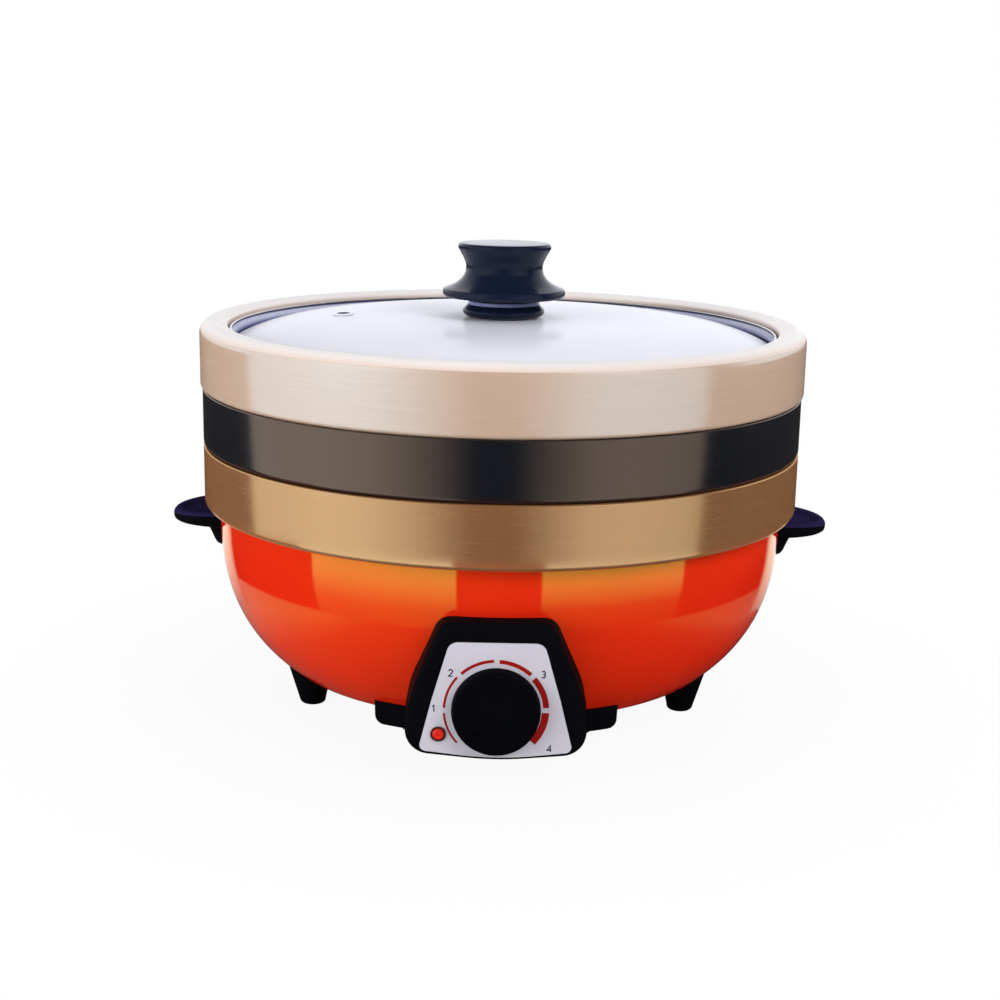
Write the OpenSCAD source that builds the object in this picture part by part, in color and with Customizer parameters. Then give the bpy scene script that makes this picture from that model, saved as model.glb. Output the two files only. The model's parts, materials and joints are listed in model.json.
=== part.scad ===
// Electric curry cooker: a heated bowl-shaped base that carries a lift-out pan, two steamer rings and a glass lid.
// Z is up, the floor is z = 0, the pot axis is the Z axis and the control panel faces -Y. Millimetres.

/* [Rings] */
// outer radius of the pan collar and of the lower steamer ring
ring_r = 149; // [142:0.5:160]
// how much further out the top ring stands than the others
top_ring_out = 1; // [0:0.25:3]
// sheet thickness of both steamer rings
ring_sheet = 1.5; // [1:0.1:2]
// height of the pan collar
collar_h = 29.5; // [26:0.5:40]
// visible height of the lower steamer ring
lower_h = 28; // [25:0.5:45]
// visible height of the top ring, lip included
top_h = 32.5; // [30:0.5:50]
// rounding at the lower edge of each ring
ring_round = 3; // [2:0.25:4]
// length of the spigot that centres a ring in the piece below
spigot_h = 8; // [6:0.5:10]
// rounding of the outer edge of the top lip
lip_round = 6; // [4:0.5:8]
// width of the top lip from the outside to the lid well
lip_w = 13.5; // [11:0.5:18]
// fall of the top lip towards the lid well
lip_fall = 1.6; // [0:0.2:3]
// depth of the lid well below the top of the lip
well_depth = 15.8; // [15:0.2:19]

/* [Body] */
// height of the body shell above the floor
foot_h = 18; // [14:0.5:26]
// height of the body shell from its flat bottom to its rim
bowl_h = 86; // [80:0.5:110]
// how far the bowl stands inside the rings
bowl_inset = 7.5; // [6:0.5:11]
// how far the shell's flat bottom reaches beyond the pan's
flat_margin = 14; // [13:0.5:18]
// fullness of the bowl curve, 2 is an ellipse
bowl_power = 2.6; // [2.2:0.1:3.2]
// sheet thickness of the shell
shell_sheet = 1.2; // [0.8:0.1:1.6]
// how far the collar hangs below the shell rim
collar_drop = 5; // [3:0.5:7]
// how far the middle of each foot stands inside the edge of the flat bottom
foot_inset = 7.4; // [5:0.1:9]
// angle of each foot from the side, seen from above
foot_angle = 23.8; // [20:0.2:30]
// radius of a foot where it meets the shell
foot_top_r = 12; // [9:0.25:13]
// radius of a foot at the floor
foot_tip_r = 6.5; // [5:0.25:8]

/* [Pan] */
// wall thickness of the pan
pan_wall = 2; // [1.5:0.1:2.5]
// height of the pan's underside above the shell's underside
pan_rise = 26; // [25:0.5:32]
// radius of the pan's flat underside
pan_flat_r = 95; // [90:0.5:100]

/* [Lid] */
// thickness of the lid glass
glass_t = 4; // [3:0.25:5]
// how far the middle of the glass stands above its edge
glass_rise = 12; // [9:0.5:16]
// radius of the knob flange
knob_flange_r = 30.5; // [26:0.5:34]
// radius of the knob top
knob_top_r = 23; // [20:0.5:25]
// height of the knob above its skirt
knob_h = 29.2; // [28:0.2:36]
// widest radius of the skirt under the knob
skirt_r = 20.5; // [19:0.25:24]
// height of the skirt
skirt_h = 8; // [7:0.2:10]

/* [Control panel] */
// height of the dial centre above the foot of the panel
dial_rise = 22.8; // [21.2:0.2:24.6]
// radius of the dial
dial_r = 19.5; // [17:0.25:21]
// how far the dial stands out from the face plate
dial_h = 6.2; // [5.8:0.1:9]
// thickness of the face plate
plate_t = 0.8; // [0.6:0.1:1]
// radius of the indicator lens
lens_r = 2.6; // [2:0.1:3]
// width of the control box under the bowl
box_w = 112; // [106:1:120]

/* [Handles] */
// how far each handle reaches out from the shell
handle_reach = 25.5; // [22:0.5:32]
// radius of the handle tip seen from above
handle_tip_r = 12; // [10:0.5:14]
// height of the handle's upper face above the shell's underside
handle_top = 74; // [70:0.5:76]

/* [Power inlet] */
// how far the inlet face stands out behind the rings
inlet_out = 3.5; // [1:0.5:7]
// height of the inlet centre above the shell's underside
inlet_rise = 18; // [17:0.5:19]

/* [Hidden] */
$fn = 96;
// seam left between pieces that stack
seam = 0.3;
// play between pieces that are fixed to one another
seat = 0.1;
// play between a screw and the bore that it sits in
screw_play = 0.05;

shell_z = foot_h;
rim_z = shell_z + bowl_h;
collar_z0 = rim_z - collar_drop;
collar_z1 = collar_z0 + collar_h;
lower_z1 = collar_z1 + lower_h;
top_z1 = lower_z1 + top_h;

bowl_r = ring_r - bowl_inset;
bowl_flat_r = pan_flat_r + flat_margin;
belly_z = rim_z - 9;
floor_top = shell_z + shell_sheet;
rim_in_r = bowl_r - 5.5;
rim_round = 2;
floor_hole_r = bowl_flat_r - 39;
foot_ring_r = bowl_flat_r - foot_inset;
foot_x = foot_ring_r * cos(foot_angle);
foot_y = foot_ring_r * sin(foot_angle);

collar_t = 1.2;
pan_lip_r = ring_r - collar_t - seat;
pan_mouth_r = pan_lip_r - pan_wall;
pan_r = rim_in_r - 1.5;
pan_z = shell_z + pan_rise;
pan_floor_t = 3;
pan_lip_z = rim_z + seam + pan_wall;

spigot_play = 0.6;
tray_seat_w = 22;
lower_spigot_r = pan_mouth_r - spigot_play;
top_ring_r = ring_r + top_ring_out;
top_spigot_r = ring_r - ring_sheet - spigot_play;
tray_seat_r = lower_spigot_r - tray_seat_w;
tray_r = tray_seat_r + 4.5;
tray_t = 1.2;
tray_rim_h = 6;
tray_hole_rings = 5;
tray_hole_pitch = (tray_r - 12.6) / tray_hole_rings;
lower_tray_z = collar_z1 + seam - spigot_h + ring_sheet + seam;
top_tray_z = lower_z1 + seam - spigot_h + ring_sheet + seam;

well_r = top_ring_r - lip_w;
well_z = top_z1 - well_depth;
lid_r = well_r - 1;
rim_sheet = 0.8;
lid_z = well_z + seam;
glass_r = lid_r - rim_sheet - seat;
glass_edge_z = lid_z + rim_sheet + seat;
glass_top_z = glass_edge_z + glass_t + glass_rise;
glass_power = 6;
glass_hole_r = 4;
skirt_z = glass_top_z + seat;
knob_z = skirt_z + skirt_h + seat;
knob_screw_r = 2.5;
vent_x = -80;
vent_hole_r = 3;
vent_tilt = atan(glass_power * glass_rise * pow(-vent_x, glass_power - 1) / pow(glass_r, glass_power));

panel_y = ring_r;
bezel_wall = 2.5;
panel_z0 = shell_z - 3.5;
panel_h = 60;
panel_top_z = panel_z0 + panel_h;
panel_foot_w = 41.5;
panel_head_w = 24.5;
panel_bulge = 4;
bezel_foot_flare = 1.5;
bezel_head_flare = 3;
bezel_top_flare = 1.2;
bezel_foot_round = 11;
bezel_head_round = 8;
plate_foot_w = 34;
plate_head_w = 20.6;
plate_bulge = 1;
plate_foot = 1.3;
plate_head = 8.5;
dial_z = panel_z0 + dial_rise;
box_z = shell_z - 5.5;
box_front_r = bowl_flat_r + 7;
box_back_y = bowl_flat_r - 14;
box_screw_x = 40;
box_screw_y = bowl_flat_r - 7;
lens_x = -25;
lens_z = dial_z - 11.2;
shaft_r = 3;
shaft_flat = 2.3;
bushing_r = 5;
nut_h = 2;
thermostat_w = 34;
thermostat_h = 26;
thermostat_front_y = panel_y - 8;
thermostat_back_y = panel_y - 24;
bushing_y = panel_y + nut_h + 0.4;

plate_top = pan_z - 0.2;
plate_h = 9.6;
plate_z = plate_top - plate_h;
plate_r = pan_flat_r - 1;
element_r = 62;
element_tube_r = 4;
element_z = plate_z + 1.5;
element_end = 70;
element_pin_z = floor_top + 1.3;
post_r = plate_r - 6;
post_angles = [90, 210, 330];
shield_z = floor_top + 7.8;
shield_t = 0.8;
shield_r = plate_r + 3;
base_plate_r = floor_hole_r + 8;
base_plate_t = 2.5;
base_screw_r = floor_hole_r + 4;
base_screw_angles = [30, 150, 270];

inlet_y = ring_r + inlet_out;
inlet_z = shell_z + inlet_rise;
inlet_back_y = bowl_flat_r - 1;
inlet_pin_y = bowl_flat_r - 8;
inlet_half_w = 19;
inlet_half_h = 13;
socket_half_w = 13;
socket_half_h = 8;
socket_depth = 16;
stub_half_w = 13.5;
stub_half_h = 9.5;
pin_pitch = 7;
pin_size = [2, 4];

handle_z1 = shell_z + handle_top;
handle_screw_z = handle_z1 - 11;
handle_screw_y = 10;
wire_r = 1.2;
wire_z = floor_top + 3;
earth_at = [-34, bowl_flat_r - 21];

// points along an arc in the drawing plane
function arc(cx, cy, r, a0, a1, n = 8) =
    [for (i = [0:n]) let (a = a0 + (a1 - a0) * i / n) [cx + r * cos(a), cy + r * sin(a)]];

// a list of points in the opposite order
function backwards(v) = [for (i = [len(v) - 1:-1:0]) v[i]];

// wall of a bowl from its flat bottom (r0, z0) to its widest radius (r1, z1)
function bowl_curve(r0, z0, r1, z1, n = 30) =
    let (a0 = acos(pow(r0 / r1, bowl_power / 2)), k = (z1 - z0) / pow(sin(a0), 2 / bowl_power))
    [for (i = [0:n]) let (a = a0 * (1 - i / n))
        [r1 * pow(cos(a), 2 / bowl_power), z1 - k * pow(sin(a), 2 / bowl_power)]];

// cubic curve between p0 and p3 with p1 and p2 as its handles
function cubic(p0, p1, p2, p3, n = 10) =
    [for (i = [0:n]) let (t = i / n, s = 1 - t)
        s * s * s * p0 + 3 * s * s * t * p1 + 3 * s * t * t * p2 + t * t * t * p3];

// one corner b of an outline, between its neighbours a and c, rounded with radius r
function corner(a, b, c, r, n) =
    let (u = (a - b) / norm(a - b), v = (c - b) / norm(c - b), half = acos(u * v) / 2)
    let (mid = b + (u + v) / norm(u + v) * r / sin(half), d = r / tan(half))
    let (s = b + u * d - mid, e = b + v * d - mid)
    let (a0 = atan2(s[1], s[0]), turn = atan2(e[1], e[0]) - a0)
    let (sweep = turn > 180 ? turn - 360 : turn < -180 ? turn + 360 : turn)
    arc(mid[0], mid[1], r, a0, a0 + sweep, n);

// an outline with its own rounding radius at each corner
function rounded(p, radii, n = 6) =
    [for (i = [0:len(p) - 1])
        each corner(p[(i + len(p) - 1) % len(p)], p[i], p[(i + 1) % len(p)], radii[i], n)];

// panel outline: half widths of foot and top, swell of the sides, foot height, top height, corner radii
function panel_outline(w0, w1, bulge, z0, z1, foot_round, top_round) =
    let (wm = (w0 + w1) / 2 + bulge, zm = (z0 + z1) / 2)
    rounded(
        [[0, z0], [w0, z0 + 2.5], [wm, zm], [w1, z1], [-w1, z1], [-wm, zm], [-w0, z0 + 2.5]],
        [150, foot_round, 60, top_round, top_round, 60, foot_round]);

// a rod along Y at (x, z), between two distances in front of the pot axis
module front_rod(x, z, y0, y1, r) {
    translate([x, -y0, z])
        rotate([90, 0, 0])
            cylinder(h = y1 - y0, r = r);
}

// an outline in the XZ plane, extruded between two distances in front of the pot axis
module front_slab(outline, y0, y1) {
    translate([0, -y0, 0])
        rotate([90, 0, 0])
            linear_extrude(height = y1 - y0)
                polygon(outline);
}

// the bowl as a filled solid, grown by gap
module bowl_solid(gap) {
    rotate_extrude()
        polygon(concat(
            [[0, shell_z - gap]],
            bowl_curve(bowl_flat_r + gap / 2, shell_z - gap, bowl_r + gap, belly_z),
            [[bowl_r + gap, rim_z], [0, rim_z]]));
}

// screw with its head's underside at z = 0 and its shank downwards
module screw(r, length, head_r, head_h) {
    translate([0, 0, -length])
        cylinder(h = length + head_h / 2, r = r);
    difference() {
        cylinder(h = head_h, r = head_r);
        translate([-head_r, -0.4, head_h - 0.7])
            cube([2 * head_r, 0.8, 1]);
    }
}

// round wire along a path, as a closed eight-sided tube
module wire(path) {
    sides = 8;
    last = len(path) - 1;
    along = [for (i = [0:last]) path[min(i + 1, last)] - path[max(i - 1, 0)]];
    points = [for (i = [0:last])
        let (t = along[i] / norm(along[i]), up = abs(t[2]) > 0.8 ? [0, 1, 0] : [0, 0, 1])
        let (u = cross(t, up) / norm(cross(t, up)), v = cross(t, u))
        each [for (k = [0:sides - 1])
            path[i] + wire_r * (cos(k * 360 / sides) * u + sin(k * 360 / sides) * v)]];
    walls = [for (i = [0:last - 1], k = [0:sides - 1])
        let (a = i * sides + k, b = i * sides + (k + 1) % sides)
        each [[a, b, b + sides], [a, b + sides, a + sides]]];
    ends = [[for (k = [sides - 1:-1:0]) k], [for (k = [0:sides - 1]) last * sides + k]];
    polyhedron(points = points, faces = concat(walls, ends));
}

// smooth path through a few points
function smooth(p, n = 5) =
    concat(
        [for (i = [0:len(p) - 2], j = [0:n - 1])
            let (a = p[max(i - 1, 0)], b = p[i], c = p[i + 1], d = p[min(i + 2, len(p) - 1)], t = j / n)
            0.5 * (2 * b + (c - a) * t + (2 * a - 5 * b + 4 * c - d) * t * t
                + (3 * b - a - 3 * c + d) * t * t * t)],
        [p[len(p) - 1]]);

// way through for the thermostat and its wires
module thermostat_way() {
    play = 3;
    translate([-thermostat_w / 2 - play, -panel_y, dial_z - thermostat_h / 2 - play])
        cube([thermostat_w + 2 * play, panel_y - bowl_flat_r + 8, thermostat_h + 2 * play]);
}

module body_shell() {
    color([0.85, 0.13, 0.05])
        difference() {
            rotate_extrude()
                polygon(concat(
                    [[floor_hole_r, shell_z]],
                    bowl_curve(bowl_flat_r, shell_z, bowl_r, belly_z),
                    arc(bowl_r - rim_round, rim_z - rim_round, rim_round, 0, 90),
                    [[rim_in_r, rim_z], [rim_in_r, rim_z - shell_sheet],
                        [bowl_r - shell_sheet, rim_z - shell_sheet - 0.8]],
                    backwards(bowl_curve(
                        bowl_flat_r - shell_sheet / 2, floor_top, bowl_r - shell_sheet, belly_z)),
                    [[floor_hole_r, floor_top]]));
            thermostat_way();
            // way through for the inlet
            translate([-stub_half_w - 0.5, bowl_flat_r - 10, inlet_z - stub_half_h - 0.5])
                cube([2 * stub_half_w + 1, 50, 2 * stub_half_h + 1]);
            // screw holes
            for (x = [-foot_x, foot_x], y = [-foot_y, foot_y])
                translate([x, y, shell_z - 1])
                    cylinder(h = 5, r = 2.1);
            for (a = post_angles)
                rotate([0, 0, a])
                    translate([post_r, 0, shell_z - 1])
                        cylinder(h = 5, r = 2.1);
            for (a = base_screw_angles)
                rotate([0, 0, a])
                    translate([base_screw_r, 0, shell_z - 1])
                        cylinder(h = 5, r = 1.7);
            for (s = [-1, 1], y = [-handle_screw_y, handle_screw_y])
                translate([s * bowl_r, y, handle_screw_z])
                    rotate([0, 90, 0])
                        cylinder(h = 20, r = 2.2, center = true);
            for (x = [-box_screw_x, box_screw_x])
                translate([x, -box_screw_y, shell_z])
                    cylinder(h = 20, r = 1.9);
        }
}

module base_plate() {
    color([0.2, 0.2, 0.22])
        difference() {
            translate([0, 0, shell_z - seat - base_plate_t])
                cylinder(h = base_plate_t, r = base_plate_r);
            for (a = base_screw_angles)
                rotate([0, 0, a])
                    translate([base_screw_r, 0, 0])
                        cylinder(h = shell_z, r = 1.9);
            for (i = [-3:3])
                translate([-30, i * 8 - 1.5, 0])
                    cube([60, 3, shell_z]);
        }
}

module base_screws() {
    color([0.7, 0.7, 0.72])
        for (a = base_screw_angles)
            rotate([0, 0, a])
                translate([base_screw_r, 0, shell_z - 2 * seat - base_plate_t])
                    rotate([180, 0, 0])
                        screw(1.6, 5.5, 3.5, 2);
}

module foot(x, y) {
    color([0.04, 0.04, 0.05])
        difference() {
            translate([x, y, 0])
                rotate_extrude()
                    polygon(concat(
                        [[0, 0]],
                        arc(foot_tip_r - 2, 2, 2, -90, 0),
                        [[foot_top_r, shell_z + 5], [0, shell_z + 5]]));
            bowl_solid(seat);
            translate([x, y, shell_z - 11])
                cylinder(h = 20, r = 1.9 + screw_play);
        }
}

module foot_front_left() {
    foot(-foot_x, -foot_y);
}

module foot_front_right() {
    foot(foot_x, -foot_y);
}

module foot_rear_left() {
    foot(-foot_x, foot_y);
}

module foot_rear_right() {
    foot(foot_x, foot_y);
}

module foot_screws() {
    color([0.7, 0.7, 0.72])
        for (x = [-foot_x, foot_x], y = [-foot_y, foot_y])
            translate([x, y, floor_top + seat])
                screw(1.9, 11, 3.4, 2.2);
}

// side view of a handle, x outwards from the pot axis
function handle_side() =
    let (x0 = bowl_r - 8, x1 = bowl_r + handle_reach, z1 = handle_z1)
    rounded(
        [[x0, z1], [x1 - 14, z1 - 0.5], [x1, z1 - 2.5], [x1, z1 - 7.5], [bowl_r + 6, z1 - 10],
            [bowl_r + 2.5, z1 - 20], [x0, z1 - 20]],
        [0.5, 20, 2.5, 2.5, 5, 2, 0.5]);

// plan view of a handle
function handle_plan() =
    let (x0 = bowl_r - 10, xc = bowl_r + handle_reach - handle_tip_r)
    concat([[x0, -24], [bowl_r - 1, -23]], arc(xc, 0, handle_tip_r, -62, 62, 20), [[bowl_r - 1, 23], [x0, 24]]);

module handle() {
    color([0.05, 0.05, 0.07])
        difference() {
            intersection() {
                translate([0, 30, 0])
                    rotate([90, 0, 0])
                        linear_extrude(height = 60)
                            polygon(handle_side());
                translate([0, 0, handle_z1 - 30])
                    linear_extrude(height = 40)
                        polygon(handle_plan());
            }
            bowl_solid(seat);
            for (y = [-handle_screw_y, handle_screw_y])
                translate([bowl_r - 10, y, handle_screw_z])
                    rotate([0, 90, 0])
                        cylinder(h = 16, r = 2 + screw_play);
        }
}

module handle_left() {
    mirror([1, 0, 0])
        handle();
}

module handle_right() {
    handle();
}

module handle_screws() {
    color([0.7, 0.7, 0.72])
        for (s = [0, 1], y = [-handle_screw_y, handle_screw_y])
            mirror([s, 0, 0])
                translate([bowl_r - shell_sheet - 1.6, y, handle_screw_z])
                    rotate([0, -90, 0])
                        screw(2, 7, 3.4, 1.6);
}

module control_box() {
    color([0.03, 0.03, 0.04])
        difference() {
            intersection() {
                translate([0, 0, box_z])
                    rotate([90, 0, 0])
                        linear_extrude(height = panel_y)
                            polygon(rounded(
                                [[-box_w / 2, 0], [box_w / 2, 0], [box_w / 2 + 1, 30], [-box_w / 2 - 1, 30]],
                                [4, 4, 1, 1]));
                difference() {
                    cylinder(h = 60, r = box_front_r);
                    translate([-100, -box_back_y, -1])
                        cube([200, 300, 80]);
                }
            }
            bowl_solid(seat);
            thermostat_way();
            // wire space between the two screw bosses
            translate([-box_screw_x + 7, -box_front_r + 3, box_z + 2.5])
                cube([2 * box_screw_x - 14, box_front_r - box_back_y - 6, 30]);
            for (x = [-box_screw_x, box_screw_x])
                translate([x, -box_screw_y, 0])
                    cylinder(h = 60, r = 1.7 + screw_play);
        }
}

module box_screws() {
    color([0.7, 0.7, 0.72])
        for (x = [-box_screw_x, box_screw_x])
            translate([x, -box_screw_y, box_z - seat])
                rotate([180, 0, 0])
                    screw(1.7, 14, 3.4, 2);
}

// outline of the bezel at its front, and further back where it is wider
function bezel_outline(foot, head, top, wall) =
    panel_outline(
        panel_foot_w + foot - wall, panel_head_w + head - wall, panel_bulge,
        panel_z0 + wall, panel_top_z + top - wall, bezel_foot_round - wall, bezel_head_round - wall);
bezel_front = bezel_outline(0, 0, 0, 0);
bezel_back = bezel_outline(bezel_foot_flare, bezel_head_flare, bezel_top_flare, 0);
bezel_front_in = bezel_outline(0, 0, 0, bezel_wall);
bezel_back_in = bezel_outline(bezel_foot_flare, bezel_head_flare, bezel_top_flare, bezel_wall);
bezel_back_y = box_front_r - 14;

// outline of the face plate, or of its seat, with the play left around it
function plate_outline(play) =
    panel_outline(
        plate_foot_w - play, plate_head_w - play, plate_bulge,
        panel_z0 + plate_foot + play, panel_top_z - plate_head - play, 3, 5);

module control_bezel() {
    color([0.03, 0.03, 0.04])
        difference() {
            hull() {
                front_slab(bezel_front, panel_y - 1, panel_y);
                front_slab(bezel_back, bezel_back_y, bezel_back_y + 1);
            }
            hull() {
                front_slab(bezel_front_in, panel_y - bezel_wall - 0.1, panel_y - bezel_wall);
                front_slab(bezel_back_in, bezel_back_y - 1, bezel_back_y);
            }
            bowl_solid(seat);
            cylinder(h = 100, r = box_front_r + seat);
            // seat of the face plate
            front_slab(plate_outline(0), panel_y - plate_t, panel_y + 1);
            front_rod(0, dial_z, panel_y - 10, panel_y, bushing_r + screw_play);
            front_rod(lens_x, lens_z, panel_y - 10, panel_y, lens_r + screw_play);
        }
}

module face_plate() {
    color([0.75, 0.75, 0.78])
        difference() {
            front_slab(plate_outline(seat), panel_y - plate_t + 0.05, panel_y + 0.2);
            front_rod(0, dial_z, panel_y - 2, panel_y + 1, bushing_r + screw_play);
            front_rod(lens_x, lens_z, panel_y - 2, panel_y + 1, lens_r + screw_play);
        }
}

module indicator_ring() {
    color([0.03, 0.03, 0.04])
        difference() {
            front_rod(lens_x, lens_z, panel_y + 0.25, panel_y + 0.9, lens_r + 0.8);
            front_rod(lens_x, lens_z, panel_y, panel_y + 2, lens_r + screw_play);
        }
}

module indicator_lens() {
    color([0.7, 0.02, 0.02])
        translate([lens_x, -panel_y + 3.5, lens_z])
            rotate([90, 0, 0])
                rotate_extrude()
                    polygon(concat(
                        [[0, -1], [lens_r + 1, -1], [lens_r + 1, 0.5], [lens_r, 0.5]],
                        arc(lens_r - 1, 3.9, 1, 0, 90),
                        [[0, 5.1]]));
}

module indicator_lamp() {
    color([0.9, 0.7, 0.5])
        front_rod(lens_x, lens_z, panel_y - 15, panel_y - 4.8, lens_r - 0.4);
}

module thermostat() {
    color([0.85, 0.82, 0.72])
        difference() {
            union() {
                translate([-thermostat_w / 2, -thermostat_front_y, dial_z - thermostat_h / 2])
                    cube([thermostat_w, thermostat_front_y - thermostat_back_y, thermostat_h]);
                front_rod(0, dial_z, thermostat_front_y - 1, panel_y - bezel_wall - seat, 8);
                front_rod(0, dial_z, thermostat_front_y - 1, bushing_y, bushing_r);
                for (x = [-9, 9])
                    translate([x - 3, -thermostat_front_y + 3, dial_z - thermostat_h / 2 - 5])
                        cube([6, 0.8, 6]);
            }
            front_rod(0, dial_z, thermostat_back_y + 6, bushing_y + 1, shaft_r + 0.05);
        }
}

module thermostat_nut() {
    color([0.75, 0.72, 0.6])
        difference() {
            front_slab(
                [for (k = [0:5]) [8 * cos(k * 60), dial_z + 8 * sin(k * 60)]],
                panel_y + 0.25, panel_y + 0.25 + nut_h);
            front_rod(0, dial_z, panel_y, panel_y + 5, bushing_r + screw_play);
        }
}

module thermostat_bracket() {
    color([0.75, 0.75, 0.76])
        difference() {
            union() {
                translate([-8, -thermostat_back_y + seat, plate_z - 1.7])
                    cube([16, thermostat_back_y - plate_r + 16, 1.6]);
                translate([-8, -thermostat_back_y + seat, plate_z - 1.7])
                    cube([16, 1.5, 14]);
            }
            translate([0, -plate_r + 8, plate_z - 5])
                cylinder(h = 10, r = 2 + screw_play);
        }
}

module bracket_screw() {
    color([0.7, 0.7, 0.72])
        translate([0, -plate_r + 8, plate_z - 1.8])
            rotate([180, 0, 0])
                screw(2, 6, 3.5, 2);
}

module heating_plate() {
    color([0.72, 0.72, 0.74])
        difference() {
            translate([0, 0, plate_z])
                cylinder(h = plate_h, r = plate_r);
            translate([0, 0, element_z])
                rotate_extrude()
                    translate([element_r, 0])
                        circle(r = element_tube_r + seat);
            translate([0, 0, plate_z - element_tube_r])
                rotate_extrude()
                    translate([element_r - element_tube_r - seat, 0])
                        square([2 * (element_tube_r + seat), element_tube_r + 1.5]);
            translate([0, -plate_r + 8, plate_z - 1])
                cylinder(h = 6, r = 2 + screw_play);
            for (a = post_angles)
                rotate([0, 0, a])
                    translate([post_r, 0, plate_z - 1])
                        cylinder(h = 6, r = 2 + screw_play);
        }
}

module heating_element() {
    color([0.45, 0.43, 0.42]) {
        translate([0, 0, element_z])
            rotate([0, 0, 180 - element_end])
                rotate_extrude(angle = 180 + 2 * element_end)
                    translate([element_r, 0])
                        circle(r = element_tube_r);
        for (a = [element_end, 180 - element_end])
            rotate([0, 0, a])
                translate([element_r, 0, 0]) {
                    translate([0, 0, shield_z - 2])
                        cylinder(h = element_z - shield_z + 4, r = 3.2);
                    translate([0, 0, element_pin_z])
                        cylinder(h = shield_z - element_pin_z, r = 1.6);
                }
    }
}

module plate_posts() {
    color([0.6, 0.6, 0.62])
        for (a = post_angles)
            rotate([0, 0, a])
                translate([post_r, 0, 0])
                    difference() {
                        union() {
                            translate([0, 0, floor_top + seat])
                                cylinder(h = shield_z - floor_top - 2 * seat, r = 6);
                            translate([0, 0, floor_top + seat])
                                cylinder(h = plate_z - floor_top - 2 * seat, r = 4.5);
                        }
                        translate([0, 0, shell_z])
                            cylinder(h = 40, r = 2 + screw_play);
                    }
}

module post_screws() {
    color([0.7, 0.7, 0.72])
        for (a = post_angles)
            rotate([0, 0, a])
                translate([post_r, 0, shell_z - seat])
                    rotate([180, 0, 0])
                        screw(2, plate_z - shell_z + 4, 3.4, 2.2);
}

module heat_shield() {
    color([0.78, 0.78, 0.8])
        difference() {
            rotate_extrude()
                polygon([
                    [0, shield_z], [shield_r, shield_z], [shield_r, shield_z + 4],
                    [shield_r - shield_t, shield_z + 4], [shield_r - shield_t, shield_z + shield_t],
                    [0, shield_z + shield_t]]);
            for (a = post_angles)
                rotate([0, 0, a])
                    translate([post_r, 0, shield_z - 1])
                        cylinder(h = 6, r = 4.8);
            for (a = [element_end, 180 - element_end])
                rotate([0, 0, a])
                    translate([element_r, 0, shield_z - 1])
                        cylinder(h = 6, r = 4.5);
        }
}

module thermal_fuse() {
    color([0.9, 0.88, 0.82])
        translate([0, 9, shield_z - 3])
            rotate([90, 0, 0])
                cylinder(h = 18, r = 2.5);
}

module fuse_clip() {
    color([0.75, 0.75, 0.76])
        translate([0, 3, shield_z - 3])
            rotate([90, 0, 0])
                linear_extrude(height = 6)
                    difference() {
                        union() {
                            circle(r = 3.2);
                            translate([-3.2, 0])
                                square([6.4, 2.9]);
                            translate([-8, 2.1])
                                square([16, 0.8]);
                        }
                        circle(r = 2.6);
                        translate([-2.6, 0])
                            square([5.2, 4]);
                    }
}

module inlet_block() {
    color([0.04, 0.04, 0.05])
        difference() {
            union() {
                difference() {
                    translate([0, inlet_y, inlet_z])
                        rotate([90, 0, 0])
                            linear_extrude(height = inlet_y - inlet_back_y)
                                polygon(rounded(
                                    [[-inlet_half_w, -inlet_half_h], [inlet_half_w, -inlet_half_h],
                                        [inlet_half_w, inlet_half_h], [-inlet_half_w, inlet_half_h]],
                                    [4, 4, 4, 4]));
                    bowl_solid(seat);
                }
                translate([-stub_half_w, inlet_back_y, inlet_z - stub_half_h])
                    cube([2 * stub_half_w, inlet_y - socket_depth - inlet_back_y, 2 * stub_half_h]);
            }
            translate([-socket_half_w, inlet_y - socket_depth, inlet_z - socket_half_h])
                cube([2 * socket_half_w, socket_depth + 1, 2 * socket_half_h]);
            for (x = [-pin_pitch, 0, pin_pitch])
                translate([x, inlet_y / 2, inlet_z])
                    cube([pin_size[0] + 2 * screw_play, inlet_y, pin_size[1] + 2 * screw_play], center = true);
        }
}

module inlet_pins() {
    color([0.8, 0.68, 0.4])
        for (x = [-pin_pitch, 0, pin_pitch])
            translate([x - pin_size[0] / 2, inlet_pin_y, inlet_z - pin_size[1] / 2])
                cube([pin_size[0], inlet_y - 4 - inlet_pin_y, pin_size[1]]);
}

module earth_stud() {
    color([0.8, 0.68, 0.4])
        translate([earth_at[0], earth_at[1], floor_top]) {
            cylinder(h = 5.5, r = 2);
            linear_extrude(height = 1.8)
                polygon([for (k = [0:5]) 4 * [cos(k * 60), sin(k * 60)]]);
        }
}

// where the wires meet the undersides of the inlet pins, and the two thermostat tabs
pin_wire_y = inlet_pin_y + wire_r + 0.3;
pin_wire_z = inlet_z - pin_size[1] / 2 - seat;
tab_y = -thermostat_front_y + 5.2;
tab_z = dial_z - thermostat_h / 2 - 3.5;
way_y = -bowl_flat_r - 3;
terminal_x = element_r * cos(element_end);
terminal_y = element_r * sin(element_end);

// first stretch of a wire, straight down from an inlet pin
function pin_drop(x) = [for (drop = [0, 3, 6]) [x, pin_wire_y, pin_wire_z - drop]];

module wire_live() {
    color([0.35, 0.16, 0.08])
        wire(smooth(concat(
            pin_drop(pin_pitch),
            [[pin_pitch + 4, pin_wire_y - 5, wire_z + 1.5], [26, bowl_flat_r - 23, wire_z], [34, 60, wire_z],
                [34, 0, wire_z], [34, -60, wire_z], [25, 17 - bowl_flat_r, wire_z + 0.5],
                [15, way_y, dial_z - 13], [11, (tab_y + way_y) / 2, dial_z - 14.5], [9, tab_y, tab_z]])));
}

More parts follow.
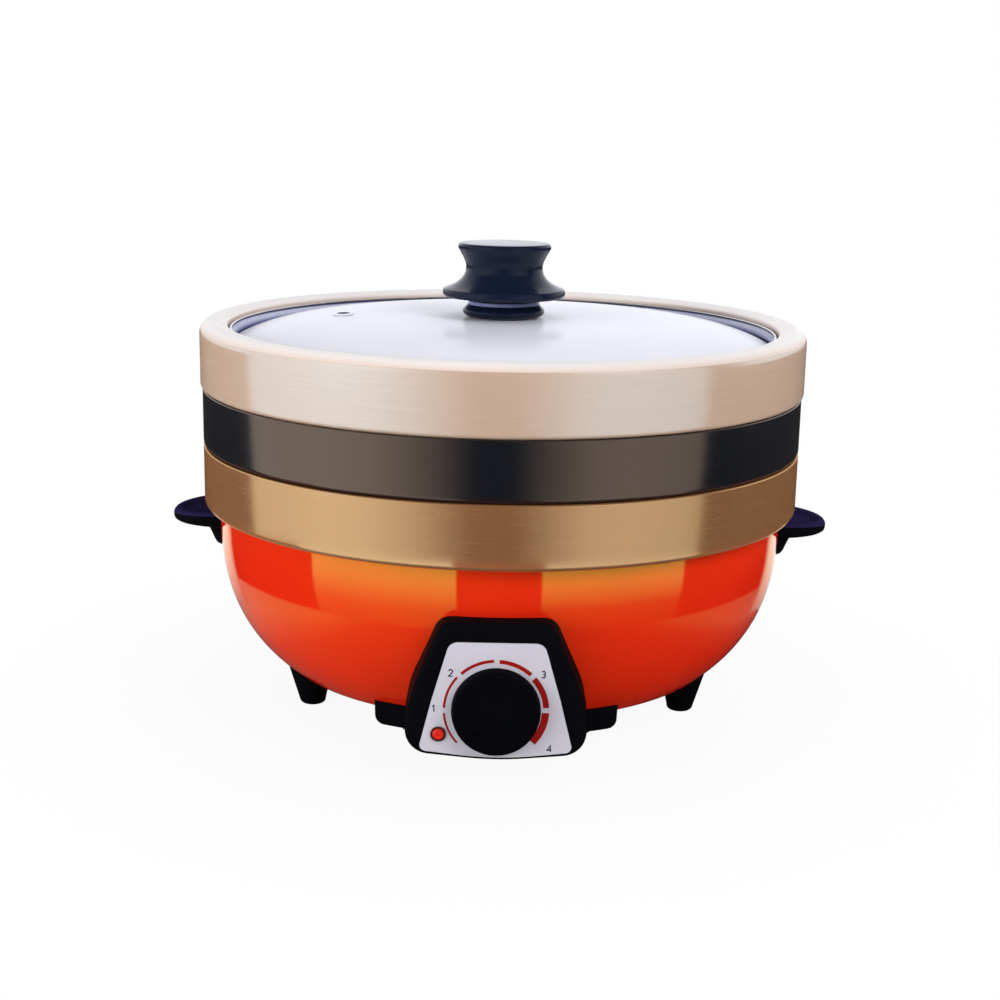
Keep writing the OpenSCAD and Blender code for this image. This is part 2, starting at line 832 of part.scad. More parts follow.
module wire_load() {
    fuse_wire_z = shield_z - 3;
    color([0.3, 0.3, 0.32])
        union() {
            wire(smooth([
                [-9, tab_y, tab_z], [-11, (tab_y + way_y) / 2, dial_z - 14.5], [-15, way_y, dial_z - 13],
                [-14, 21 - bowl_flat_r, wire_z], [-8, -40, wire_z], [0, -16, fuse_wire_z],
                [0, -9 - seat, fuse_wire_z]]));
            wire(smooth([
                [0, 9 + seat, fuse_wire_z], [0, 14, fuse_wire_z], [4, 24, wire_z],
                [terminal_x - 1, terminal_y - 14, wire_z], [terminal_x, terminal_y - 1.8, wire_z]]));
        }
}

module wire_neutral() {
    color([0.1, 0.25, 0.6])
        wire(smooth(concat(
            pin_drop(-pin_pitch),
            [[-pin_pitch - 1.5, pin_wire_y - 5, wire_z + 1.5], [-15, bowl_flat_r - 25, wire_z],
                [-terminal_x, terminal_y + 8, wire_z], [-terminal_x, terminal_y + 1.8, wire_z]])));
}

module wire_earth() {
    color([0.2, 0.5, 0.15])
        wire(smooth(concat(
            pin_drop(0),
            [[-3, pin_wire_y + 2.4, wire_z + 3.6], [-12, pin_wire_y + 2.9, wire_z + 2],
                [-25, pin_wire_y - 3, wire_z + 0.8], [earth_at[0] + 2.2, earth_at[1] + 2.6, wire_z]])));
}

module wire_lamp() {
    lamp_end_y = 15 - panel_y;
    color([0.45, 0.45, 0.47])
        wire(smooth([
            [lens_x, lamp_end_y + seat, lens_z], [lens_x, lamp_end_y + 1.5, lens_z],
            [lens_x + 3.2, (lamp_end_y + way_y - 4) / 2, lens_z + 0.6], [-18.6, way_y - 4, dial_z - 10.5],
            [-20, 17 - bowl_flat_r, wire_z + 1], [-27, -60, wire_z], [-27, 0, wire_z], [-24, 44, wire_z],
            [-terminal_x, terminal_y - 1.8, wire_z]]));
}

module shaft_profile(play) {
    intersection() {
        circle(r = shaft_r + play);
        translate([-10, -10])
            square([20, 10 + shaft_flat + play]);
    }
}

module dial_knob() {
    dial_back = panel_y + 0.7;
    dial_front = panel_y + 0.2 + dial_h;
    color([0.02, 0.02, 0.03])
        difference() {
            translate([0, -dial_back, dial_z])
                rotate([90, 0, 0])
                    difference() {
                        rotate_extrude()
                            polygon(concat(
                                [[0, 2.6], [9.5, 2.6], [9.5, 0], [dial_r, 0], [dial_r, 1]],
                                arc(dial_r - 2.4, dial_front - dial_back - 2, 2, 20, 90),
                                [[0, dial_front - dial_back]]));
                        // pointer groove towards the first mark
                        rotate([0, 0, 225])
                            translate([dial_r - 8, -0.5, dial_front - dial_back - 0.5])
                                cube([6, 1, 1]);
                    }
            translate([0, -dial_back + 1, dial_z])
                rotate([90, 0, 0])
                    linear_extrude(height = dial_h - 0.2)
                        shaft_profile(screw_play);
        }
}

module thermostat_shaft() {
    color([0.75, 0.75, 0.76])
        union() {
            front_rod(0, dial_z, thermostat_back_y + 6.5, bushing_y + 0.3, shaft_r);
            translate([0, -bushing_y - 0.2, dial_z])
                rotate([90, 0, 0])
                    linear_extrude(height = dial_h - nut_h - 1.6)
                        shaft_profile(0);
        }
}

module pan() {
    color([0.12, 0.12, 0.13])
        rotate_extrude()
            polygon(concat(
                [[0, pan_z]],
                bowl_curve(pan_flat_r, pan_z, pan_r, belly_z + 4),
                [[pan_r, rim_z + seam], [pan_lip_r, rim_z + seam], [pan_lip_r, pan_lip_z],
                    [pan_r - pan_wall, pan_lip_z]],
                backwards(bowl_curve(
                    pan_flat_r - pan_wall / 2, pan_z + pan_floor_t, pan_r - pan_wall, belly_z + 4)),
                [[0, pan_z + pan_floor_t]]));
}

module pan_collar() {
    hem = 2.5;
    color([0.45, 0.29, 0.19])
        rotate_extrude()
            polygon(concat(
                [[pan_mouth_r, collar_z1], [ring_r, collar_z1]],
                backwards(arc(ring_r - hem, collar_z0 + hem, hem, -90, 0)),
                arc(ring_r - hem, collar_z0 + hem, hem - collar_t, -90, 0),
                [[ring_r - collar_t, pan_lip_z + seat], [pan_mouth_r, pan_lip_z + seat]]));
}

// outside of a ring's foot: shoulder, spigot and tray seat, from the wall downwards
function ring_foot_outside(r, z, spigot_r) =
    concat(
        backwards(arc(r - ring_round, z + ring_round, ring_round, -90, 0)),
        [[spigot_r, z], [spigot_r, z - spigot_h], [tray_seat_r, z - spigot_h]]);

// inside of a ring's foot, from the tray seat upwards
function ring_foot_inside(r, z, spigot_r) =
    concat(
        [[tray_seat_r, z - spigot_h + ring_sheet], [spigot_r - ring_sheet, z - spigot_h + ring_sheet],
            [spigot_r - ring_sheet, z + ring_sheet]],
        arc(r - ring_round, z + ring_round, ring_round - ring_sheet, -90, 0));

module lower_ring() {
    z = collar_z1 + seam;
    color([0.03, 0.03, 0.04])
        rotate_extrude()
            polygon(concat(
                [[ring_r - ring_sheet, lower_z1], [ring_r, lower_z1]],
                ring_foot_outside(ring_r, z, lower_spigot_r),
                ring_foot_inside(ring_r, z, lower_spigot_r)));
}

module top_ring() {
    z = lower_z1 + seam;
    color([0.62, 0.5, 0.4])
        rotate_extrude()
            polygon(concat(
                backwards(ring_foot_inside(top_ring_r, z, top_spigot_r)),
                backwards(ring_foot_outside(top_ring_r, z, top_spigot_r)),
                arc(top_ring_r - lip_round, top_z1 - lip_round, lip_round, 0, 90),
                [[well_r + 1, top_z1 - lip_fall], [well_r, top_z1 - lip_fall - 1], [well_r, well_z],
                    [well_r - 6, well_z], [well_r - 6, well_z - ring_sheet],
                    [well_r + ring_sheet, well_z - ring_sheet],
                    [well_r + ring_sheet, top_z1 - lip_fall - 1 - ring_sheet]],
                backwards(arc(
                    top_ring_r - lip_round, top_z1 - lip_round, lip_round - ring_sheet, 0, 90))));
}

module steam_tray(z) {
    color([0.75, 0.75, 0.77])
        difference() {
            translate([0, 0, z])
                rotate_extrude()
                    polygon([
                        [0, 0], [tray_r, 0], [tray_r, tray_rim_h], [tray_r - tray_t, tray_rim_h],
                        [tray_r - tray_t, tray_t], [0, tray_t]]);
            for (ring = [1:tray_hole_rings], k = [0:6 * ring - 1])
                rotate([0, 0, k * 60 / ring])
                    translate([ring * tray_hole_pitch, 0, z - 1])
                        cylinder(h = 4, r = 3.2);
        }
}

module lower_tray() {
    steam_tray(lower_tray_z);
}

module top_tray() {
    steam_tray(top_tray_z);
}

// height of the domed underside of the glass at a distance from its middle
function glass_height(r) = glass_edge_z + glass_rise * (1 - pow(r / glass_r, glass_power));

// one face of the glass, lifted from its underside, from its edge to its middle hole
function glass_curve(lift, n = 24) =
    [for (i = [0:n]) let (r = glass_r + (glass_hole_r - glass_r) * i / n) [r, glass_height(r) + lift]];

// the vent stands square to the glass
module vent_place() {
    translate([vent_x, 0, glass_height(-vent_x) + glass_t / 2])
        rotate([0, -vent_tilt, 0])
            children();
}

module lid_glass() {
    color([0.85, 0.87, 0.92, 0.5])
        difference() {
            rotate_extrude()
                polygon(concat(glass_curve(glass_t), backwards(glass_curve(0))));
            vent_place()
                cylinder(h = 20, r = vent_hole_r + 0.6 + seat, center = true);
        }
}

module lid_rim() {
    rim_top = top_z1 - 3.5;
    bead_z = glass_edge_z + glass_t + seam;
    bead_w = 1.5;
    inside = lid_r - rim_sheet;
    color([0.8, 0.8, 0.82])
        rotate_extrude()
            polygon(concat(
                [[lid_r - 5, lid_z], [lid_r, lid_z]],
                arc(lid_r - rim_sheet, rim_top - rim_sheet, rim_sheet, 0, 90, 5),
                [[inside - 0.6, rim_top], [inside - 0.6, rim_top - 1.2], [inside, rim_top - 1.8],
                    [inside, bead_z + 2 * bead_w], [inside - bead_w, bead_z + bead_w], [inside, bead_z],
                    [inside, lid_z + rim_sheet], [lid_r - 5, lid_z + rim_sheet]]));
}

// turned outside of the knob, from its neck over the flange and the waist to the middle of its top
function knob_side() =
    let (f = knob_flange_r, w = knob_top_r - 4, t = knob_top_r, z = knob_z, top = knob_z + knob_h)
    concat(
        [[0, z], [17.4, z]],
        cubic([17.8, z + 0.8], [20.5, z + 1.6], [f - 6, z + 1.6], [f - 2.2, z + 2]),
        arc(f - 1.6, z + 3.6, 1.6, -70, 0, 5),
        arc(f - 0.9, z + 5.4, 0.7, 10, 80, 3),
        cubic([f - 1.2, z + 6.3], [f - 5, z + 7.6], [w + 0.2, z + 10.2], [w, z + 16.6]),
        cubic([w, z + 17], [w + 0.1, top - 9.7], [t - 2, top - 6.9], [t, top - 3.2]),
        arc(t - 1.4, top - 2.6, 1.4, 0, 70, 5),
        [[0, top]]);

module lid_knob() {
    color([0.05, 0.055, 0.08])
        difference() {
            rotate_extrude()
                polygon(knob_side());
            translate([0, 0, knob_z - 1])
                cylinder(h = 16, r = knob_screw_r + screw_play);
        }
}

module knob_skirt() {
    color([0.05, 0.055, 0.08])
        difference() {
            translate([0, 0, skirt_z])
                rotate_extrude()
                    polygon(concat(
                        [[0, 0], [skirt_r - 4.2, 0]],
                        cubic([skirt_r - 3.8, 0.1], [skirt_r - 1, 0.5], [skirt_r, 1.8], [skirt_r, 3.3]),
                        cubic(
                            [skirt_r - 0.1, 3.7], [skirt_r - 0.4, 4.6],
                            [17.8, skirt_h - 2], [17.6, skirt_h - 0.4]),
                        [[17.2, skirt_h], [0, skirt_h]]));
            translate([0, 0, skirt_z - 1])
                cylinder(h = skirt_h + 2, r = knob_screw_r + screw_play);
        }
}

module knob_washer() {
    color([0.75, 0.75, 0.76])
        translate([0, 0, glass_top_z - glass_t - 1.3])
            difference() {
                cylinder(h = 1, r = 11);
                translate([0, 0, -1])
                    cylinder(h = 4, r = knob_screw_r + screw_play);
            }
}

module knob_screw() {
    color([0.75, 0.75, 0.76])
        translate([0, 0, glass_top_z - glass_t - 1.4])
            rotate([180, 0, 0])
                screw(knob_screw_r, glass_t + skirt_h + 14, 5, 2.6);
}

module vent_eyelet() {
    flange_t = 0.8;
    color([0.8, 0.8, 0.82])
        vent_place()
            difference() {
                union() {
                    cylinder(h = glass_t + 2 * flange_t, r = vent_hole_r + 0.6, center = true);
                    for (side = [-1, 1])
                        translate([0, 0, side * (glass_t / 2 + seat + flange_t / 2)])
                            cylinder(h = flange_t, r = vent_hole_r + 2.4, center = true);
                }
                cylinder(h = 20, r = vent_hole_r - 1, center = true);
            }
}

body_shell();
base_plate();
base_screws();
foot_front_left();
foot_front_right();
foot_rear_left();
foot_rear_right();
foot_screws();
handle_left();
handle_right();
handle_screws();
control_box();
box_screws();
control_bezel();
face_plate();
indicator_ring();
indicator_lens();
indicator_lamp();
thermostat();
thermostat_nut();
thermostat_bracket();
bracket_screw();
heating_plate();
heating_element();
plate_posts();
post_screws();
heat_shield();
thermal_fuse();
fuse_clip();
inlet_block();
inlet_pins();
earth_stud();
wire_live();
wire_load();
wire_neutral();
wire_earth();
wire_lamp();
dial_knob();
thermostat_shaft();
pan();
pan_collar();
lower_ring();
lower_tray();
top_ring();
top_tray();
lid_glass();
lid_rim();
lid_knob();
knob_skirt();
knob_washer();
knob_screw();
vent_eyelet();
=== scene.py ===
"""Looks of the electric curry cooker: smooth visible pieces, procedural materials, studio and camera."""

import json
import math

import bpy
from mathutils import Matrix, Vector
from mathutils.geometry import tessellate_polygon


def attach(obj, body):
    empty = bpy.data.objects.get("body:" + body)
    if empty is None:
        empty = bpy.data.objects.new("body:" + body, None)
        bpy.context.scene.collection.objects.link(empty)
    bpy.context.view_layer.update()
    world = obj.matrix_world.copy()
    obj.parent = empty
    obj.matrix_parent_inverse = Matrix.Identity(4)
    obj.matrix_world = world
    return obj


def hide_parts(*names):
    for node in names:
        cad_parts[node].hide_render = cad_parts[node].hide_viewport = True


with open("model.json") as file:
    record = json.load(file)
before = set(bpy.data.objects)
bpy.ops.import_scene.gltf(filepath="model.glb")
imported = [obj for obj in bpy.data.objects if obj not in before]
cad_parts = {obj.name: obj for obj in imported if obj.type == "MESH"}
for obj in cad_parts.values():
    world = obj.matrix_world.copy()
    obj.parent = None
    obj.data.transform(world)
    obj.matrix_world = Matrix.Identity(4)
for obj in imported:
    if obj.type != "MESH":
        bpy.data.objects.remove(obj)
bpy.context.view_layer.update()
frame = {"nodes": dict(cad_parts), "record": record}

MM = 0.001

# Sizes in millimetres, the same as in the part's source.
RING_R = 149.0
TOP_R = 150.0
SHEET = 1.5
RING_ROUND = 2.4
SHELL_Z = 18.0
RIM_Z = 104.0
COLLAR_Z0 = 99.0
COLLAR_Z1 = 128.5
LOWER_Z1 = 156.5
TOP_Z1 = 189.0
SEAM = 0.3
BOWL_R = 141.5
BOWL_FLAT_R = 109.0
BOWL_POWER = 2.6
BELLY_Z = 95.0
SHELL_SHEET = 1.2
SHELL_HOLE_R = 70.0
SHELL_MOUTH_R = 136.0
FRONT_WINDOW_HALF_W = 20
FRONT_WINDOW_HALF_H = 16
REAR_WINDOW_HALF_W = 14
REAR_WINDOW_Z0 = 26
REAR_WINDOW_Z1 = 46
SPIGOT_H = 8.0
TRAY_SEAT_R = 123.1
LOWER_SPIGOT_R = 145.1
TOP_SPIGOT_R = 146.9
WELL_R = 136.5
WELL_Z = 173.2
WELL_SEAT_W = 6
WELL_DROP = 1.6
LIP_R = 144.0
LID_R = 135.5
LID_Z = 173.5
GLASS_R = 134.6
GLASS_EDGE_Z = 174.4
GLASS_T = 4.0
GLASS_RISE = 12.0
GLASS_POWER = 6
RIM_SHEET = 0.8
RIM_TOP = 185.5
RIM_FLANGE_W = 5
SKIRT_R = 20.5
SKIRT_Z = 190.5
SKIRT_H = 8.0
KNOB_Z = 198.6
KNOB_H = 29.2
KNOB_FLANGE_R = 30.5
KNOB_TOP_R = 23.0
KNOB_BORE_R = 2.55
VENT_X = -80.0
VENT_HOLE_R = 3.7
VENT_BORE_R = 3.2
VENT_NECK_R = 3.6
VENT_FLANGE_R = 5.2
VENT_HALF_H = 2.9
VENT_HALF_GRIP = 2.1
PAN_LIP_Z = 106.4
PAN_MOUTH_R = 145.7
PANEL_Y = 149.0
DIAL_Z = 37.3
# The panel reaches 1.3 mm lower and 2 mm higher than its solids, as in the photo.
PANEL_Z0 = 13.2
PANEL_TOP_Z = 76.5
PANEL_SAG = 3.8
BEZEL_FOOT_W = 41.5
BEZEL_TOP_W = 24.5
BEZEL_EDGE = 2.6
BEZEL_BULGE = 4
BEZEL_FOOT_ROUND = 11
BEZEL_TOP_ROUND = 8
PLATE_FOOT_W = 34
PLATE_TOP_W = 20.6
PLATE_FRONT_Y = 149.2
PLATE_BACK_Y = 148.25
PLATE_GAP = 0.15
PLATE_MARGIN_TOP = 8.5
PLATE_MARGIN_FOOT = 1.3
SHAFT_HOLE_R = 5.05
LENS_HOLE_R = 2.65
LENS_X = -25.0
LENS_Z = 26.1
HANDLE_Z1 = 92.0
FOOT_X = 92.96
FOOT_Y = 41.0
FOOT_R = 6.5
FOOT_ROUND = 2.2
FOOT_SOLE_R = 4.0
FOOT_TOP_R = 11.0
FOOT_LEAN = 1.6
FOOT_SHIFT = 0.4
BOX_FRONT_R = 116.0


# Geometry helpers


def arc(cx, cy, r, a0, a1, n=8):
    """Points of an arc between two angles in degrees."""
    steps = [math.radians(a0 + (a1 - a0) * i / n) for i in range(n + 1)]
    return [(cx + r * math.cos(a), cy + r * math.sin(a)) for a in steps]


def cubic(p0, p1, p2, p3, n=24):
    """Points of a cubic Bezier curve."""
    out = []
    for i in range(n + 1):
        t = i / n
        s = 1 - t
        w = (s**3, 3 * s * s * t, 3 * s * t * t, t**3)
        out.append(tuple(sum(k * p[j] for k, p in zip(w, (p0, p1, p2, p3))) for j in (0, 1)))
    return out


def corner(a, b, c, r, n):
    """Points of a rounded corner b between its neighbours a and c."""
    a, b, c = Vector(a), Vector(b), Vector(c)
    u, v = (a - b).normalized(), (c - b).normalized()
    half = u.angle(v) / 2
    if r <= 0 or abs(half - math.pi / 2) < 1e-3:
        return [tuple(b)]
    mid = b + (u + v).normalized() * (r / math.sin(half))
    d = r / math.tan(half)
    s, e = b + u * d - mid, b + v * d - mid
    a0 = math.atan2(s.y, s.x)
    turn = math.atan2(e.y, e.x) - a0
    turn = (turn + math.pi) % (2 * math.pi) - math.pi
    return [
        (mid.x + r * math.cos(a0 + turn * i / n), mid.y + r * math.sin(a0 + turn * i / n))
        for i in range(n + 1)
    ]


def rounded(points, n):
    """A closed outline of (x, y, radius) points with each corner rounded in n steps."""
    out = []
    for i, (x, y, r) in enumerate(points):
        a, c = points[i - 1], points[(i + 1) % len(points)]
        out += corner(a[:2], (x, y), c[:2], r, n)
    return out


def bowl_curve(r0, z0, r1, z1, n=72):
    """(r, z) points of a bowl's wall from its flat bottom up to its belly."""
    a0 = math.acos((r0 / r1) ** (BOWL_POWER / 2))
    k = (z1 - z0) / math.sin(a0) ** (2 / BOWL_POWER)
    out = []
    for i in range(n + 1):
        a = a0 * (1 - i / n)
        c, s = math.cos(a) ** (2 / BOWL_POWER), max(math.sin(a), 0) ** (2 / BOWL_POWER)
        out.append((r1 * c, z1 - k * s))
    return out


def bowl_radius(z):
    """Outer radius of the bowl at a height."""
    if z >= BELLY_Z:
        return BOWL_R
    k = (BELLY_Z - SHELL_Z) / (1 - (BOWL_FLAT_R / BOWL_R) ** BOWL_POWER) ** (1 / BOWL_POWER)
    u = min((BELLY_Z - z) / k, 1)
    return BOWL_R * (1 - u**BOWL_POWER) ** (1 / BOWL_POWER)


def link_object(name, data):
    obj = bpy.data.objects.new(name, data)
    bpy.context.scene.collection.objects.link(obj)
    return obj


def mesh_object(name, verts, faces, sharp=40):
    """A smooth mesh from points in millimetres. Edges that turn by more than sharp degrees stay sharp."""
    mesh = bpy.data.meshes.new(name)
    mesh.from_pydata([tuple(c * MM for c in v) for v in verts], [], faces)
    mesh.validate()
    mesh.shade_smooth()
    mesh.set_sharp_from_angle(angle=math.radians(sharp))
    return link_object(name, mesh)


def lathe(name, profile, segments=256, sharp=40, skip=None):
    """A closed (r, z) profile turned about the pot axis. Points on the axis become one vertex."""
    verts, rings = [], []
    for r, z in profile:
        if r < 1e-6:
            rings.append([len(verts)] * segments)
            verts.append((0, 0, z))
            continue
        rings.append(list(range(len(verts), len(verts) + segments)))
        for k in range(segments):
            a = 2 * math.pi * k / segments
            verts.append((r * math.cos(a), r * math.sin(a), z))
    faces = []
    for i, low in enumerate(rings):
        high = rings[(i + 1) % len(rings)]
        for k in range(segments):
            j = (k + 1) % segments
            quad = [low[k], low[j], high[j], high[k]]
            face = [v for n, v in enumerate(quad) if v not in quad[:n]]
            if len(face) < 3:
                continue
            if skip:
                mid = [sum(verts[v][c] for v in face) / len(face) for c in range(3)]
                if skip(*mid):
                    continue
            faces.append(face)
    return mesh_object(name, verts, faces, sharp)


def loft(name, loops, cap_first=False, cap_last=False, sharp=40):
    """Closed loops of equal length joined in order."""
    verts = [v for loop in loops for v in loop]
    n = len(loops[0])
    faces = []
    for i in range(len(loops) - 1):
        for k in range(n):
            j = (k + 1) % n
            faces.append([i * n + k, i * n + j, (i + 1) * n + j, (i + 1) * n + k])
    if cap_first:
        faces.append(list(range(n - 1, -1, -1)))
    if cap_last:
        faces.append(list(range((len(loops) - 1) * n, len(loops) * n)))
    return mesh_object(name, verts, faces, sharp)


def place(obj, body, slot, *nodes):
    """Makes an object ride a body and stand in for the named nodes."""
    if nodes:
        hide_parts(*nodes)
    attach(obj, body)
    return obj


# Materials


BRUSHED = (1, 1, 30)
# Nearly all values of a noise texture lie between these two.
NOISE_LOW = 0.3
NOISE_HIGH = 0.7
BUMP_DEPTH = 0.0002


def new_material(name):
    mat = bpy.data.materials.new(name)
    mat.use_nodes = True
    nodes, links = mat.node_tree.nodes, mat.node_tree.links
    return mat, nodes, links, nodes["Principled BSDF"]


def noise(nodes, links, scale, detail=4.0, stretch=(1, 1, 1)):
    coord = nodes.new("ShaderNodeTexCoord")
    mapping = nodes.new("ShaderNodeMapping")
    mapping.inputs["Scale"].default_value = stretch
    tex = nodes.new("ShaderNodeTexNoise")
    tex.inputs["Scale"].default_value = scale
    tex.inputs["Detail"].default_value = detail
    links.new(coord.outputs["Object"], mapping.inputs["Vector"])
    links.new(mapping.outputs["Vector"], tex.inputs["Vector"])
    return tex


def coordinates(nodes, links, space):
    """The axes of a texture coordinate."""
    coord = nodes.new("ShaderNodeTexCoord")
    axes = nodes.new("ShaderNodeSeparateXYZ")
    links.new(coord.outputs[space], axes.inputs["Vector"])
    return axes.outputs


def map_range(nodes, links, socket, start, end, low=0.0, high=1.0, smooth=False):
    """A value between start and end as one between low and high."""
    node = nodes.new("ShaderNodeMapRange")
    if smooth:
        node.interpolation_type = "SMOOTHSTEP"
    node.inputs["From Min"].default_value = start
    node.inputs["From Max"].default_value = end
    node.inputs["To Min"].default_value = low
    node.inputs["To Max"].default_value = high
    links.new(socket, node.inputs["Value"])
    return node.outputs["Result"]


def math_node(nodes, links, operation, a, b):
    node = nodes.new("ShaderNodeMath")
    node.operation = operation
    links.new(a, node.inputs[0])
    links.new(b, node.inputs[1])
    return node.outputs["Value"]


def ramp_node(nodes, links, socket, stops_at):
    """A colour ramp of grey values or colours at the given places."""
    ramp = nodes.new("ShaderNodeValToRGB")
    stops = ramp.color_ramp.elements
    while len(stops) < len(stops_at):
        stops.new(0.5)
    for stop, (at, value) in zip(stops, stops_at):
        stop.position = at
        stop.color = (value, value, value, 1) if isinstance(value, (int, float)) else (*value, 1)
    links.new(socket, ramp.inputs["Fac"])
    return ramp.outputs["Color"]


def spread(nodes, links, tex, low, high):
    """The noise as a value between low and high."""
    return map_range(nodes, links, tex.outputs["Fac"], NOISE_LOW, NOISE_HIGH, low, high)


def two_tone(nodes, links, tex, dark, light):
    """The noise as a colour between dark and light."""
    return ramp_node(nodes, links, tex.outputs["Fac"], [(NOISE_LOW, dark), (NOISE_HIGH, light)])


def bump(nodes, links, bsdf, tex, strength):
    b = nodes.new("ShaderNodeBump")
    b.inputs["Strength"].default_value = strength
    b.inputs["Distance"].default_value = BUMP_DEPTH
    links.new(tex.outputs["Fac"], b.inputs["Height"])
    links.new(b.outputs["Normal"], bsdf.inputs["Normal"])


def linear(rgb):
    """sRGB 0 to 255 as linear values."""
    out = []
    for c in rgb:
        c /= 255
        out.append(c / 12.92 if c <= 0.04045 else ((c + 0.055) / 1.055) ** 2.4)
    return out


def surface(name, rgb, rough, metallic=0.0, vary=0.05, scale=40, stretch=(1, 1, 1), coat=0.0, grain=0.0,
            grain_scale=900, ior=1.5, tint=(1, 1, 1), level=0.5):
    """A plain finish with a little unevenness in its colour, gloss and surface."""
    mat, nodes, links, bsdf = new_material(name)
    base = linear(rgb)
    tex = noise(nodes, links, scale, stretch=stretch)
    dark, light = [c * (1 - vary) for c in base], [min(c * (1 + vary), 1) for c in base]
    links.new(two_tone(nodes, links, tex, dark, light), bsdf.inputs["Base Color"])
    links.new(spread(nodes, links, tex, rough * 0.85, rough * 1.15), bsdf.inputs["Roughness"])
    bsdf.inputs["Metallic"].default_value = metallic
    bsdf.inputs["IOR"].default_value = ior
    bsdf.inputs["Specular Tint"].default_value = (*tint, 1)
    bsdf.inputs["Specular IOR Level"].default_value = level
    bsdf.inputs["Coat Weight"].default_value = coat
    bsdf.inputs["Coat Roughness"].default_value = 0.04
    if grain:
        fine = noise(nodes, links, grain_scale, 2.0, stretch)
        bump(nodes, links, bsdf, fine, grain)
    return mat


def glass_material():
    """Lid glass that is milky enough to hide what is under it."""
    mat, nodes, links, bsdf = new_material("lid_glass")
    tex = noise(nodes, links, 12)
    links.new(two_tone(nodes, links, tex, linear((233, 234, 244)), linear((238, 239, 248))),
              bsdf.inputs["Base Color"])
    links.new(spread(nodes, links, tex, 0.16, 0.24), bsdf.inputs["Roughness"])
    bsdf.inputs["Transmission Weight"].default_value = 0.25
    bsdf.inputs["IOR"].default_value = 1.5
    bsdf.inputs["Specular IOR Level"].default_value = 0.01
    return mat


def graded_material(name, z0, z1, shades, rough, metallic):
    """A finish whose colour changes with height: pairs of a share of the way up and an sRGB colour."""
    mat, nodes, links, bsdf = new_material(name)
    rise = map_range(nodes, links, coordinates(nodes, links, "Object")["Z"], z0 * MM, z1 * MM)
    colour = ramp_node(nodes, links, rise, [(at, linear(rgb)) for at, rgb in shades])
    links.new(colour, bsdf.inputs["Base Color"])
    brushed = noise(nodes, links, 90, stretch=BRUSHED)
    links.new(spread(nodes, links, brushed, rough * 0.8, rough * 1.2), bsdf.inputs["Roughness"])
    bsdf.inputs["Metallic"].default_value = metallic
    return mat


def glow_material(name):
    """A material that only shines."""
    mat, nodes, links, bsdf = new_material(name)
    nodes.remove(bsdf)
    glow = nodes.new("ShaderNodeEmission")
    links.new(glow.outputs["Emission"], nodes["Material Output"].inputs["Surface"])
    return mat, nodes, links, glow


def lens_material():
    mat, nodes, links, bsdf = new_material("lens_red")
    tex = noise(nodes, links, 400)
    links.new(two_tone(nodes, links, tex, linear((196, 26, 18)), linear((226, 50, 34))),
              bsdf.inputs["Base Color"])
    bsdf.inputs["Roughness"].default_value = 0.12
    bsdf.inputs["Coat Weight"].default_value = 0.6
    return mat


MATERIALS = {
    "shell_paint": surface("shell_paint", (230, 40, 15), 0.08, vary=0.03, scale=30, grain=0.01, grain_scale=700,
                           ior=2.55, tint=(0.35, 0.85, 0.11)),
    "collar_bronze": surface("collar_bronze", (146, 100, 65), 0.16, vary=0.04, stretch=BRUSHED,
                             ior=4.5, tint=(1, 0.73, 0.39)),
    "ring_black": surface("ring_black", (18, 22, 29), 0.16, vary=0.1, stretch=BRUSHED, grain=0.004,
                          ior=2.2, tint=(1, 0.72, 0.52)),
    "ring_champagne": surface("ring_champagne", (208, 177, 153), 0.18, vary=0.03, stretch=BRUSHED, grain=0.005,
                              ior=3.4, tint=(0.55, 0.84, 1)),
    "nonstick": surface("nonstick", (46, 46, 48), 0.55, vary=0.2, scale=300, grain=0.15),
    "black_plastic": surface("black_plastic", (8, 9, 13), 0.55, vary=0.12, grain=0.06, level=0.02),
    "knob_plastic": surface("knob_plastic", (20, 27, 46), 0.16, vary=0.1, grain=0.005, level=0.2,
                            tint=(0.82, 0.85, 1)),
    "dial_plastic": surface("dial_plastic", (6, 7, 11), 0.55, vary=0.15, grain=0.08, level=0.02),
    "plate_silver": surface("plate_silver", (200, 197, 208), 0.4, 0.1, 0.03, 30, grain=0.05),
    "steel": surface("steel", (205, 206, 210), 0.24, 1.0, 0.05, 60, (1, 1, 12), grain=0.05),
    "zinc": surface("zinc", (176, 178, 182), 0.42, 0.9, 0.12, 220, grain=0.1),
    "cast_aluminium": surface("cast_aluminium", (178, 179, 183), 0.5, 0.9, 0.1, 260, grain=0.25),
    "element_sheath": surface("element_sheath", (92, 84, 80), 0.5, 0.8, 0.25, 180, grain=0.2),
    "brass": surface("brass", (206, 172, 98), 0.3, 1.0, 0.08, 120, grain=0.05),
    "lid_glass": glass_material(),
    "lens_red": lens_material(),
    "lamp_glass": surface("lamp_glass", (240, 205, 170), 0.15, vary=0.1, coat=0.5),
    "phenolic": surface("phenolic", (210, 200, 172), 0.5, vary=0.08, scale=160, grain=0.1),
    "fuse_body": surface("fuse_body", (224, 219, 205), 0.55, vary=0.06, scale=200, grain=0.1),
    "insulation_brown": surface("insulation_brown", (104, 60, 34), 0.5, vary=0.08, scale=300, grain=0.05),
    "insulation_blue": surface("insulation_blue", (34, 78, 168), 0.5, vary=0.08, scale=300, grain=0.05),
    "insulation_green": surface("insulation_green", (96, 150, 54), 0.5, vary=0.08, scale=300, grain=0.05),
    "insulation_grey": surface("insulation_grey", (128, 128, 132), 0.5, vary=0.08, scale=300, grain=0.05),
}

